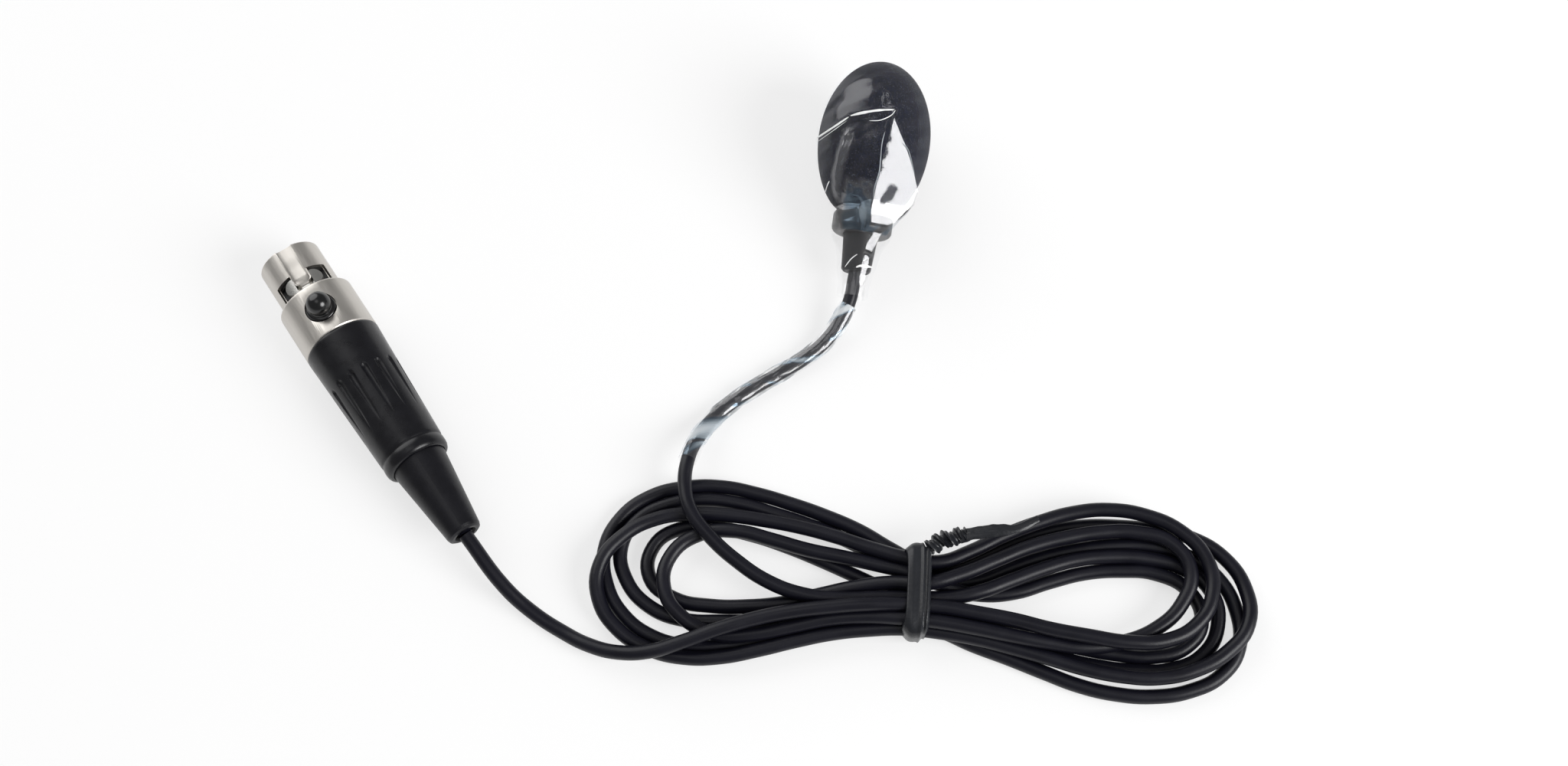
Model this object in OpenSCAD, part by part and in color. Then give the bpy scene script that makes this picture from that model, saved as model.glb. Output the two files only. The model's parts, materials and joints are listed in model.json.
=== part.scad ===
// Lavalier microphone with a foam windscreen, a hanked cable and a three-contact mini plug.
// Millimetres. The microphone lies on the surface z = 0 with its axis along +Y,
// and the origin is under the middle of the microphone head.

/* [Windscreen] */
// Widest diameter of the foam
screen_d = 16.5; // [14:0.1:20]
// From the widest section to the tip
screen_front = 12; // [9:0.5:15]
// From the widest section back to the mouth
screen_back = 10.5; // [8.5:0.5:13]
// Outer diameter of the foam at its mouth
screen_mouth_d = 8.2; // [8:0.1:9]
// Thin clear film over the foam
film_t = 0.12; // [0.1:0.02:0.3]
// How far the film reaches behind the widest section
film_back = 3; // [1:0.5:3]

/* [Capsule housing] */
// Outer diameter of the housing tube
housing_d = 7; // [6.6:0.1:7.4]
// Length of the housing tube
housing_len = 11.4; // [11:0.2:13]
// Wall of the housing tube
housing_wall = 0.4; // [0.3:0.05:0.5]
// Thickness of the housing floor
floor_t = 1.2; // [0.8:0.1:1.6]
// Diameter of the electret capsule
capsule_d = 5.2; // [4.6:0.1:5.4]
// Length of the electret capsule
capsule_len = 2.7; // [2:0.1:3]
// Thickness of the circuit board
board_t = 0.6; // [0.4:0.1:1]
// Thickness of the front plate of the grille
grille_t = 0.8; // [0.5:0.1:1]
// Diameter of each sound hole
sound_hole_d = 0.9; // [0.6:0.1:1.1]

/* [Collar and strain relief] */
// Outer diameter of the collar
collar_d = 8.8; // [8.4:0.1:10]
// Length of the collar
collar_len = 3.4; // [2.8:0.1:5]
// Rounding of the collar's edges
collar_round = 0.9; // [0.4:0.1:1.2]
// Diameter of the strain relief where it leaves the collar
relief_d = 5.1; // [4.6:0.1:5.6]
// Diameter of the strain relief at its tail
relief_tail_d = 4.3; // [3.4:0.1:4.5]
// From the collar's front face to the relief's tail
relief_len = 8.9; // [7.5:0.1:11]
// Angle by which the microphone's tip is raised
mic_pitch = 13.8; // [8:0.2:18]

/* [Cable] */
// Diameter of the cable
cable_d = 2; // [1.6:0.1:2.1]

/* [Hank] */
// Step from one loop to the next at the waist
waist_step = 2.5; // [2.5:0.05:3]
// Step from one loop to the next round the lobes
lobe_step = 2.55; // [2.55:0.05:3]
// Step from the lower layer of loops to the upper one
layer_step = 2.45; // [2.45:0.05:3]
// Radius of the innermost fold in the near lobe
near_fold_r = 6; // [6:0.1:7]
// Radius of the innermost fold in the far lobe
far_fold_r = 6.4; // [6:0.1:7.5]

/* [Tie] */
// Width of the tie's ribbon
tie_w = 3.2; // [2.4:0.1:4]
// Thickness of the tie's ribbon
tie_t = 0.5; // [0.4:0.05:0.6]
// Height of the ribs along the ribbon's edges
tie_rib = 0.2; // [0.1:0.05:0.3]

/* [Plug shell] */
// Diameter of the ring behind the nose
ring_d = 11; // [10.6:0.1:12]
// Length of the ring
ring_len = 8; // [7.6:0.1:9]
// Diameter of the nose that enters the socket
nose_d = 9; // [8.9:0.1:9.4]
// Length of the nose
nose_len = 7.7; // [7:0.1:9]
// Bore of the shell
shell_bore_d = 7.7; // [7.5:0.1:7.9]
// Width of the pressed keyway along the nose
key_w = 2.1; // [1.8:0.1:2.2]
// Depth of the pressed keyway
key_depth = 0.35; // [0.2:0.05:0.4]
// Length of the threaded tail inside the backshell
tail_len = 6; // [5:0.5:7]

/* [Insert and contacts] */
// How far the insert's face lies inside the nose
face_recess = 0.8; // [0.4:0.1:1.5]
// Circle on which the contacts stand
contact_circle_d = 3.56; // [3.4:0.02:3.6]
// Outer diameter of a contact
contact_d = 1.4; // [1.3:0.05:1.45]
// Bore of a contact
contact_bore_d = 1; // [0.9:0.02:1.1]
// Depth of the bore of a contact
contact_depth = 7; // [5:0.5:9]

/* [Latch] */
// Diameter of the hole for the button
button_hole_d = 4.5; // [4.2:0.1:5]
// Diameter of the button's dome
button_d = 3.3; // [2.8:0.1:3.4]
// Height of the top of the dome over the ring
button_proud = 2.8; // [2:0.1:3]
// Thickness of the latch's sheet
latch_t = 0.3; // [0.25:0.05:0.35]
// Angle through which the latch swings when it is pressed
latch_press = 4.5; // [3:0.5:4.5]

/* [Backshell and boot] */
// Length of the backshell
backshell_len = 21.7; // [20:0.1:24]
// Diameter of the backshell at its rear lip
backshell_rear_d = 9.1; // [8.8:0.1:9.6]
// Number of grip flutes
flutes = 15; // [10:1:16]
// Diameter of the boot where it leaves the backshell
boot_d = 7.8; // [7.2:0.1:7.9]
// Diameter of the boot at its tip
boot_tip_d = 5; // [4.2:0.1:5.4]
// Length of the boot outside the backshell
boot_len = 12.4; // [10:0.1:16]

/* [Hidden] */

ROUND = 48;
FINE = 64;

// Clearances
fit = 0.05;
film_gap = 0.3;
socket_gap = 0.2;
mouth_gap = 0.3;
tie_gap = 0.3;

// Microphone, along its own axis: 0 is the collar's front face, the tip lies towards +
screen_r = screen_d / 2;
mouth_r = screen_mouth_d / 2;
widest_s = mouth_gap + screen_back;
housing_r = housing_d / 2;
housing_ir = housing_r - housing_wall;
mesh_t = 0.15;
skirt_len = 0.55;
lip_t = 0.4;
mesh_s = housing_len - skirt_len - mesh_t;
capsule_top = mesh_s - lip_t;
capsule_bottom = capsule_top - capsule_len;
solder_h = 0.4;
board_top = capsule_bottom - solder_h;
sheath_end = floor_t + 3;
socket_end = housing_len + grille_t + socket_gap;
cable_r = cable_d / 2;
relief_flange_r = relief_d / 2 + 0.65;
flange_s = 1.45;
ferrule_wall = 0.45;
wire_r = 0.28;

// Outline of the foam as [radius, place along the axis], grown by a gap, from one angle of
// its back quarter on: 0 degrees is the mouth and 90 degrees is the widest section
function egg_back(gap, from) =
    [for (a = [from : (90 - from) / 9 : 90.01])
        [mouth_r + gap + (screen_r - mouth_r) * sin(a), widest_s - screen_back * cos(a)]];
function egg_front(gap) =
    [for (a = [10 : 10 : 90])
        [max(0, (screen_r + gap) * cos(a)), widest_s + (screen_front + gap) * sin(a)]];
function egg(gap, from = 0) = concat(egg_back(gap, from), egg_front(gap));
function flipped(list) = [for (i = [len(list) - 1 : -1 : 0]) list[i]];

film_from = acos(film_back / screen_back);
film_outer = egg(film_gap + film_t, film_from);
film_inner = egg(film_gap, film_from);

// The head lies on its belly, with its tail raised by the cable
mic_z = max([for (p = concat(film_outer, egg(0))) p[0] * cos(mic_pitch) - p[1] * sin(mic_pitch)]);
head_front = max([for (p = film_outer) p[1] * cos(mic_pitch) + p[0] * sin(mic_pitch)]);
head_rear = relief_len * cos(mic_pitch) + relief_tail_d / 2 * sin(mic_pitch);
mic_y = (head_rear - head_front) / 2;

// Plug, along its own axis: 0 is where the ring meets the backshell, the nose lies towards +
plug_at = [-70.6, -38];
plug_turn = 133.2;
plug_roll = 1.5;
ring_r = ring_d / 2;
nose_r = nose_d / 2;
bore_r = shell_bore_d / 2;
nose_end = ring_len + nose_len;
tail_r = bore_r + 0.75;
window_len = 2.8;
tongue_len = 0.7;
insert_r = bore_r - fit;
insert_rear = -5;
contact_rear = insert_rear - 1.5;
contact_angles = [60, 180, 300];
button_u = ring_len / 2;

// The latch turns about a line across the plug near the insert's rear
pivot_u = insert_rear;
root_len = 1.5;
latch_half_w = 1.3;
latch_top = bore_r - 0.4;
latch_low = latch_top - latch_t;
ear_from = ring_len + 0.25;
ear_to = ear_from + 2.3;
ear_half_w = 2.8;
ear_in = nose_r - 0.2;
ear_out = nose_r + 0.2;
window_low = sqrt(bore_r * bore_r - ear_half_w * ear_half_w) - fit;
ear_sink = (ear_to - pivot_u) * sin(latch_press);
slot_floor = latch_low - ear_sink - 0.1;
pocket_floor = min(slot_floor, sqrt(ear_in * ear_in - ear_half_w * ear_half_w) - ear_sink - 0.1);

// Backshell and boot
backshell_bore_r = tail_r + fit;
boot_r = boot_d / 2;
boot_flange_r = boot_r + 0.25;
boot_seat = -15;
flute_front = -7.1;
flute_len = 8;
flute_r = 0.7;
flute_depth = 0.3;
boot_end = -backshell_len - boot_len;
sheath_front = -9;
clamp_front = -10.2;

// Cable: the free stretches lie along hand-chosen points, from the part they leave to the hank
mic_route = [
    [-0.4, -20.4, 3], [-1.7, -23.6, 2], [-4.1, -27, 1.3], [-7.3, -30.4, 1], [-11, -33.6, 1],
    [-14.6, -36.6, 1], [-17.2, -40, 1.4], [-18.8, -43.8, 3], [-19.3, -48, 5.2],
    [-18.8, -52.4, 6.1], [-16.6, -56.6, 6.2], [-13, -59.8, 6.3], [-8.6, -62.2, 6.5],
    [-3.6, -63.8, 6.8], [0.9, -64.2, 6.8], [4.9, -63.1, 5.9]];
plug_route = [
    [-43.6, -66.5, 4.7], [-40.6, -69, 3], [-37.2, -71.2, 1.7], [-33.6, -72.9, 1.2],
    [-29.6, -74.2, 1.9], [-25.4, -74.9, 4], [-21.2, -74.8, 5.6], [-17, -73.8, 6.1],
    [-12.6, -71.9, 6.1], [-8.2, -69.7, 6.1], [-4, -67.4, 6], [-0.6, -65.4, 4.7],
    [2.2, -64, 3.8], [5.4, -62.3, 2.8]];

// Hank: its waist is at hank_at, its near lobe towards -X and its far lobe towards +X
hank_at = [14.6, -60.6];
hank_turn = 4.7;
hank_turns = 5.5;
climb_from = 2.5;
climb_to = 3;
waist_half = 0.6;
near_reach = 30.4;
far_reach = 31.7;
climb_bulge = 0.15;
tie_lift = tie_t + tie_rib + tie_gap;
lift_run = 14;
hank_lead = 4;
run_rings = 3;
fold_rings = 6;
loop_rings = 4 * run_rings + 2 * fold_rings;

function clamp01(u) = max(0, min(1, u));
function smooth(u) = u * u * (3 - 2 * u);
function gentle(u) = (u + smooth(u)) / 2;

// How far out a loop lies, 0 for the innermost and 1 for the outermost, after t turns.
// The loops spiral out in the upper layer, drop a layer in the half turn where the spiral
// reverses, and spiral in again in the lower one.
function outness(t) =
    t < climb_from ? t / climb_from
    : t > climb_to ? (hank_turns - t) / climb_from
    : 1 + climb_bulge * sin(180 * (t - climb_from) / (climb_to - climb_from));
function layer_z(t) =
    cable_r + layer_step * (1 - smooth(clamp01((t - climb_from) / (climb_to - climb_from))));
function waist_lift(x) = tie_lift * (1 - smooth(clamp01(abs(x) / lift_run)));
function waist_y(t) = waist_half + outness(t) * waist_step * climb_from;
function fold_r(first, t) = first + outness(t) * lobe_step * climb_from;
function run_y(u, r, t) = waist_y(t) + (r - waist_y(t)) * gentle(u);

// Point of the hank after t turns: a run to the far lobe, its fold, two runs back through
// the waist, the near lobe's fold and a run to the waist again
function hank_xy(t) =
    let (j = (t - floor(t)) * loop_rings)
    let (far = j < loop_rings / 2)
    let (k = far ? j : j - loop_rings / 2)
    let (side = far ? 1 : -1)
    let (r = fold_r(far ? far_fold_r : near_fold_r, t))
    let (reach = far ? far_reach : near_reach)
    k < run_rings
        ? side * [reach * k / run_rings, -run_y(k / run_rings, r, t)]
    : k < run_rings + fold_rings
        ? let (a = 180 * (k - run_rings) / fold_rings - 90)
          side * [reach + r * cos(a), r * sin(a)]
    : let (u = (2 * run_rings + fold_rings - k) / run_rings)
      side * [reach * u, run_y(u, r, t)];
function hank_point(t) =
    let (p = hank_xy(t))
    [p[0], p[1], layer_z(t) + waist_lift(p[0])];
function placed(p) =
    [hank_at[0] + p[0] * cos(hank_turn) - p[1] * sin(hank_turn),
     hank_at[1] + p[0] * sin(hank_turn) + p[1] * cos(hank_turn),
     p[2]];
upper_end_z = cable_r + layer_step + tie_lift;
lower_end_z = cable_r + tie_lift;
hank_path = concat(
    [[-hank_lead, -waist_half, upper_end_z], [-hank_lead / 2, -waist_half, upper_end_z]],
    [for (i = [0 : hank_turns * loop_rings]) hank_point(i / loop_rings)],
    [[-hank_lead / 2, waist_half, lower_end_z], [-hank_lead, waist_half, lower_end_z]]);
waist_out = waist_half + waist_step * climb_from + cable_r;

// Places of the microphone's and the plug's cable exits, and the straight starts from them
function mic_point(s) = [0, mic_y + s * cos(mic_pitch), mic_z + s * sin(mic_pitch)];
function plug_point(u) =
    [plug_at[0] + u * cos(plug_turn), plug_at[1] + u * sin(plug_turn), ring_r];
mic_path = concat(
    [mic_point(-relief_len), mic_point(-relief_len - cable_d)],
    mic_route,
    [placed([-hank_lead - cable_d, -waist_half, upper_end_z]),
     placed([-hank_lead, -waist_half, upper_end_z])]);
plug_path = concat(
    [plug_point(boot_end), plug_point(boot_end - cable_d)],
    plug_route,
    [placed([-hank_lead - cable_d, waist_half, lower_end_z]),
     placed([-hank_lead, waist_half, lower_end_z])]);

// Tubes
function unit(v) = v / norm(v);
function heading(path, i) =
    i == 0 ? unit(path[1] - path[0])
    : i == len(path) - 1 ? unit(path[i] - path[i - 1])
    : unit(unit(path[i] - path[i - 1]) + unit(path[i + 1] - path[i]));
// Section of a tube, 2 * half_h high and 2 * half_w wide, rolled about the path by an angle
function ring(path, i, half_w, half_h, sides, roll) =
    let (along = heading(path, i))
    let (level = unit(cross([0, 0, 1], along)))
    let (upright = cross(along, level))
    let (across = cos(roll) * level + sin(roll) * upright)
    let (over = cos(roll) * upright - sin(roll) * level)
    [for (k = [0 : sides - 1])
        let (a = 360 * k / sides)
        path[i] + half_h * cos(a) * over + half_w * sin(a) * across];
function path_length(path) =
    let (steps = [for (i = [1 : len(path) - 1]) norm(path[i] - path[i - 1])])
    steps * [for (s = steps) 1];
function halved(path) =
    concat([for (i = [0 : len(path) - 2]) each [path[i], (path[i] + path[i + 1]) / 2]],
           [path[len(path) - 1]]);
function to_run(p, a, b) =
    let (u = clamp01((p - a) * (b - a) / ((b - a) * (b - a))))
    norm(p - a - u * (b - a));
// Least clear distance between two tubes, from points a quarter of a ring step apart on the
// first to the runs of the second, leaving out as many rings as skip on both sides of a
// point's own ring
function least_gap(path, other, skip) =
    let (points = halved(halved(path)))
    min([for (i = [0 : len(points) - 1])
        for (j = [0 : len(other) - 2])
            if (abs(j + 0.5 - i / 4) > skip) to_run(points[i], other[j], other[j + 1])]) - cable_d;
// A path without the rings at its end that it shares with the next one
function free_part(path) = [for (i = [0 : len(path) - 3]) path[i]];

// A tube along a path, which rolls by roll_step at each of its first rolled rings
module tube(path, half_w, half_h, sides, roll_step = 0, rolled = 0) {
    last = len(path) - 1;
    points = [for (i = [0 : last])
        each ring(path, i, half_w, half_h, sides, roll_step * min(i, rolled))];
    walls = [for (i = [0 : last - 1])
        for (k = [0 : sides - 1])
            let (n = (k + 1) % sides)
            let (a = i * sides)
            let (b = a + sides)
            each [[a + k, a + n, b + n], [a + k, b + n, b + k]]];
    start = [for (k = [1 : sides - 2]) [0, k + 1, k]];
    end = [for (k = [1 : sides - 2]) [last * sides, last * sides + k, last * sides + k + 1]];
    polyhedron(points, concat(walls, start, end));
}

module turned(outline, facets = ROUND) {
    rotate_extrude($fn = facets) polygon(outline);
}

// A pipe from one place along the axis to another
module pipe(outer, inner, from, to) {
    difference() {
        translate([0, 0, from]) cylinder(r = outer, h = to - from, $fn = ROUND);
        translate([0, 0, from - 1]) cylinder(r = inner, h = to - from + 2, $fn = ROUND);
    }
}

module rod(r, from, to) {
    translate([0, 0, from]) cylinder(r = r, h = to - from, $fn = ROUND);
}

module in_mic() {
    translate([0, mic_y, mic_z]) rotate([mic_pitch - 90, 0, 0]) children();
}

// In the plug's own frame +X is up, +Y is the right-hand side and +Z points out of the nose
module in_plug() {
    translate([plug_at[0], plug_at[1], ring_r])
        rotate([0, 0, plug_turn]) rotate([0, 90, 0]) rotate([0, 0, 180 + plug_roll]) children();
}

module in_hank() {
    translate([hank_at[0], hank_at[1], 0]) rotate([0, 0, hank_turn]) children();
}

// ---- Microphone head ----

module windscreen() {
    socket_r = housing_r + socket_gap;
    color([0.06, 0.06, 0.07]) in_mic()
        turned(concat(
            [[socket_r, mouth_gap]],
            egg(0),
            [[0, socket_end], [socket_r, socket_end]]), FINE);
}

module film_sleeve() {
    color([0.85, 0.88, 0.9, 0.4]) in_mic()
        turned(concat(film_outer, flipped(film_inner)), FINE);
}

module grille_cap() {
    hole_circle = housing_r * 0.55;
    color([0.2, 0.2, 0.21]) in_mic() {
        difference() {
            union() {
                rod(housing_r, housing_len, housing_len + grille_t);
                rod(housing_ir - fit, mesh_s + mesh_t, housing_len);
            }
            rod(capsule_d / 2 - 0.2, mesh_s, housing_len);
            rod(sound_hole_d / 2, housing_len - 1, housing_len + 2);
            for (a = [0 : 60 : 300])
                rotate([0, 0, a]) translate([hole_circle, 0, 0])
                    rod(sound_hole_d / 2, housing_len - 1, housing_len + 2);
        }
    }
}

module grille_mesh() {
    color([0.6, 0.6, 0.6]) in_mic() rod(housing_ir - fit, mesh_s, mesh_s + mesh_t);
}

module capsule_housing() {
    color([0.12, 0.12, 0.13]) in_mic() difference() {
        rod(housing_r, 0, housing_len);
        rod(housing_ir, floor_t, housing_len + 1);
        rod(cable_r + 2 * fit, -1, floor_t + 1);
    }
}

module electret_capsule() {
    color([0.78, 0.78, 0.76]) in_mic() {
        rod(capsule_d / 2, capsule_bottom, capsule_top);
        for (x = [-1, 1])
            translate([x * capsule_d / 5, 0, 0]) rod(wire_r + 0.1, board_top, capsule_bottom);
    }
}

module capsule_ring() {
    inner = capsule_d / 2 + fit / 2;
    color([0.1, 0.1, 0.1]) in_mic() difference() {
        rod(housing_ir - fit, capsule_bottom + 0.2, mesh_s);
        rod(inner, capsule_bottom - 1, capsule_top);
        rod(inner - lip_t, capsule_bottom, mesh_s + 1);
    }
}

module capsule_board() {
    color([0.1, 0.4, 0.2]) in_mic() difference() {
        rod(housing_ir - 3 * fit, board_top - board_t, board_top);
        translate([housing_ir, 0, board_top]) cube([1.2, 1.2, 4], center = true);
    }
}

module lead_wires() {
    colours = ["red", "white"];
    for (k = [0, 1])
        color(colours[k]) in_mic()
            translate([(2 * k - 1) * cable_r / 2, 0, 0]) rod(wire_r, sheath_end, board_top - board_t);
}

module base_collar() {
    r = collar_d / 2;
    bore = relief_d / 2 + fit;
    color([0.12, 0.12, 0.13]) in_mic() difference() {
        turned(concat(
            [[bore, -collar_len]],
            [for (a = [-90 : 15 : 0])
                [r - collar_round + collar_round * cos(a),
                 collar_round - collar_len + collar_round * sin(a)]],
            [for (a = [0 : 15 : 90])
                [r - collar_round + collar_round * cos(a), collar_round * (sin(a) - 1)]],
            [[bore, 0]]), FINE);
        rod(relief_flange_r + fit, -flange_s - fit, 1);
    }
}

module cable_ferrule() {
    inner = cable_r + fit;
    color([0.8, 0.65, 0.3]) in_mic() {
        pipe(cable_r + ferrule_wall, inner, floor_t, sheath_end - 0.3);
        pipe(cable_r + 3 * ferrule_wall, cable_r + ferrule_wall / 2, floor_t, floor_t + 0.5);
    }
}

module mic_strain_relief() {
    color([0.1, 0.1, 0.11]) in_mic() difference() {
        turned([
            [0, -relief_len],
            [relief_tail_d / 2 - 0.3, -relief_len],
            [relief_tail_d / 2, -relief_len + 0.3],
            [relief_d / 2, -collar_len],
            [relief_d / 2, -flange_s],
            [relief_flange_r, -flange_s],
            [relief_flange_r, -fit],
            [0, -fit]]);
        rod(cable_r + fit, -relief_len - 1, 1);
    }
}

module sheath_in_mic() {
    color([0.08, 0.08, 0.09]) in_mic() rod(cable_r, -relief_len, sheath_end);
}

// ---- Cable ----

module cable_mic_side() {
    color([0.08, 0.08, 0.09]) tube(mic_path, cable_r, cable_r, 8);
}

module cable_hank() {
    fold_quarter = loop_rings / 4;
    inner_hank = [for (i = [2 : len(hank_path) - 3]) placed(hank_path[i])];
    echo(least_gap_of_hank_to_itself = least_gap(hank_path, hank_path, fold_quarter));
    echo(least_gap_of_mic_side_to_hank = least_gap(free_part(mic_path), inner_hank, 0));
    echo(least_gap_of_plug_side_to_hank = least_gap(free_part(plug_path), inner_hank, 0));
    echo(least_gap_of_both_sides = least_gap(mic_path, plug_path, 0));
    echo(cable_length = path_length(hank_path) + path_length(mic_path) + path_length(plug_path));
    color([0.08, 0.08, 0.09]) in_hank() tube(hank_path, cable_r, cable_r, 6);
}

module cable_plug_side() {
    color([0.08, 0.08, 0.09]) tube(plug_path, cable_r, cable_r, 8);
}

// Rounded rectangle, wide along the first direction
module rounded(w, h, r) {
    square([w - 2 * r, h], center = true);
    square([w, h - 2 * r], center = true);
    for (x = [-1, 1])
        for (y = [-1, 1])
            translate([x * (w / 2 - r), y * (h / 2 - r)]) circle(r = r, $fn = ROUND);
}

// One turn of ribbon round the waist, grown outwards by t
module tie_turn(w, t) {
    inner_w = 2 * waist_out + 2 * tie_gap;
    inner_h = layer_step + cable_d + 2 * tie_gap;
    corner = 1.2;
    rotate([90, 0, 90]) linear_extrude(height = w, center = true) difference() {
        rounded(inner_w + 2 * t, inner_h + 2 * t, corner + t);
        rounded(inner_w, inner_h, corner);
    }
}

module twist_tie() {
    middle_z = tie_lift + cable_r + layer_step / 2;
    top_z = middle_z + layer_step / 2 + cable_r + tie_gap + tie_t;
    rib_w = 0.28 * tie_w;
    twist_from = [0.4, 5.2, 0];
    twist_to = [4.6, 6.2, 0];
    twist_steps = 16;
    twist_z = top_z + 0.25 * tie_w;
    tail = [[6.4, 7.1, 0], [8.8, 7.7, -0.4], [11.2, 8.3, -1], [13.6, 9.5, -1.8], [15.9, 10.6, -2]];
    ribbon = concat(
        [for (i = [0 : twist_steps]) twist_from + (twist_to - twist_from) * i / twist_steps],
        tail);
    color([0.09, 0.09, 0.1]) in_hank() {
        translate([0, 0, middle_z]) {
            tie_turn(tie_w, tie_t);
            for (x = [-1, 1])
                translate([x * (tie_w - rib_w) / 2, 0, 0]) tie_turn(rib_w, tie_t + tie_rib);
        }
        // The ribbon's two ends, twisted together twice, and the tail that is left of them
        translate([0, 0, twist_z]) tube(ribbon, 0.3 * tie_w, tie_t, 8, 720 / twist_steps, twist_steps);
    }
}

// ---- Plug ----

module plug_shell() {
    bevel = 0.45;
    key_half = key_w / 2;
    color([0.75, 0.73, 0.7]) in_plug() difference() {
        turned([
            [bore_r, -tail_len],
            [tail_r, -tail_len],
            [tail_r, 0],
            [ring_r - bevel / 3, 0],
            [ring_r, bevel / 3],
            [ring_r, ring_len - bevel],
            [ring_r - bevel, ring_len],
            [nose_r, ring_len],
            [nose_r, nose_end - 0.2],
            [nose_r - 0.2, nose_end],
            [bore_r, nose_end]], FINE);
        // Keyway pressed into the nose
        translate([nose_r - key_depth, -key_half, ring_len + tongue_len])
            cube([2, key_w, nose_len]);
        // Window for the latch, round a tongue under the keyway
        difference() {
            translate([window_low, -nose_r, ring_len]) cube([nose_r, 2 * nose_r, window_len]);
            translate([0, -key_half, ring_len + tongue_len]) cube([nose_r, key_w, window_len]);
        }
        // Hole for the button
        translate([0, 0, button_u]) rotate([0, 90, 0])
            cylinder(d = button_hole_d, h = ring_r + 1, $fn = ROUND);
    }
}

module plug_insert() {
    slot_half = latch_half_w + 0.2;
    color([0.07, 0.07, 0.08]) in_plug() difference() {
        rod(insert_r, insert_rear, nose_end - face_recess);
        // Slot for the latch's blade, which is shallow under the blade's root
        translate([latch_low - 0.15, -slot_half, insert_rear - 1])
            cube([insert_r, 2 * slot_half, root_len + 2]);
        translate([slot_floor, -slot_half, insert_rear + root_len])
            cube([insert_r, 2 * slot_half, ear_from - insert_rear - root_len]);
        // Pocket for its ears
        translate([pocket_floor, -insert_r, ear_from - 0.2])
            cube([insert_r, 2 * insert_r, ear_to - ear_from + 0.5]);
        // Room for the button's foot
        translate([latch_top - 1.2, 0, button_u]) rotate([0, 90, 0])
            cylinder(d = button_hole_d, h = insert_r, $fn = ROUND);
        for (a = contact_angles)
            rotate([0, 0, a]) translate([contact_circle_d / 2, 0, 0])
                rod(contact_d / 2 + fit / 2, insert_rear - 1, nose_end);
    }
}

module plug_contacts() {
    mouth = nose_end - face_recess - 0.2;
    color([0.85, 0.7, 0.35]) in_plug()
        for (a = contact_angles)
            rotate([0, 0, a]) translate([contact_circle_d / 2, 0, 0]) difference() {
                rod(contact_d / 2, contact_rear, mouth);
                rod(contact_bore_d / 2, mouth - contact_depth, mouth + 1);
            }
}

// One ear of the latch: a half-moon that follows the nose, on a wall beside the tongue
module latch_ear(side) {
    wall_y = latch_half_w;
    ear_r = (ear_to - ear_from) / 2;
    intersection() {
        pipe(ear_out, ear_in, ear_from, ear_to);
        translate([0, side * (ear_half_w - ear_r), (ear_from + ear_to) / 2]) rotate([0, 90, 0])
            cylinder(r = ear_r, h = ear_out + 1, $fn = ROUND);
        // It stops at its wall, so that it passes the tongue as it sinks
        translate([0, side > 0 ? wall_y : -wall_y - nose_r, ear_from])
            cube([ear_out + 1, nose_r, ear_to - ear_from]);
    }
    translate([latch_low, side > 0 ? wall_y : -wall_y - latch_t, ear_from])
        cube([ear_in - latch_low, latch_t, ear_to - ear_from]);
}

module latch_plate() {
    color([0.7, 0.7, 0.68]) in_plug() {
        translate([latch_low, -latch_half_w, pivot_u])
            cube([latch_t, 2 * latch_half_w, ear_to - pivot_u]);
        // Rounded root, about which it turns
        translate([latch_low + latch_t / 2, 0, pivot_u]) rotate([90, 0, 0])
            cylinder(d = latch_t, h = 2 * latch_half_w, center = true, $fn = ROUND);
        translate([latch_low, -latch_half_w - latch_t, ear_from])
            cube([latch_t, 2 * (latch_half_w + latch_t), ear_to - ear_from]);
        for (side = [-1, 1])
            latch_ear(side);
    }
}

module latch_button() {
    dome_r = button_d / 2;
    foot_r = button_hole_d / 2 - 0.25;
    top = ring_r + button_proud;
    color([0.04, 0.04, 0.05]) in_plug()
        translate([0, 0, button_u]) rotate([0, 90, 0]) {
            rod(foot_r, latch_top, ring_r - 0.6);
            rod(dome_r - 0.1, latch_top, top - dome_r);
            translate([0, 0, top - dome_r]) sphere(r = dome_r, $fn = ROUND);
        }
}

module backshell() {
    rear_r = backshell_rear_d / 2;
    lip = 0.5;
    cone_end = 2.2 - backshell_len;
    wall_r = boot_flange_r + fit;
    flute_at = ring_r - 0.3 - flute_depth + flute_r;
    color([0.1, 0.1, 0.11]) in_plug() difference() {
        turned([
            [backshell_bore_r, 0],
            [ring_r, 0],
            [ring_r - 0.3, flute_front],
            [rear_r + 0.15, cone_end],
            [rear_r, cone_end - 0.4],
            [rear_r, lip - backshell_len],
            [rear_r - 0.15, lip / 3 - backshell_len],
            [rear_r - lip, -backshell_len],
            [boot_r + fit, -backshell_len],
            [boot_r + fit, boot_seat],
            [wall_r, boot_seat],
            [wall_r, -tail_len - 0.5],
            [backshell_bore_r, -tail_len - 0.5]], FINE);
        for (k = [0 : flutes - 1])
            rotate([0, 0, 360 * k / flutes]) translate([flute_at, 0, flute_front])
                turned(concat(
                    [[0, -flute_len], [flute_r, -flute_len]],
                    [for (a = [0 : 15 : 90]) [flute_r * cos(a), flute_r * sin(a)]]));
    }
}

module cable_clamp() {
    color([0.85, 0.85, 0.82]) in_plug() difference() {
        pipe(boot_flange_r - fit, cable_r + fit, boot_seat + 1.3, clamp_front);
        translate([0, 0, clamp_front]) cube([0.6, 2 * boot_flange_r, 3], center = true);
    }
}

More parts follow.
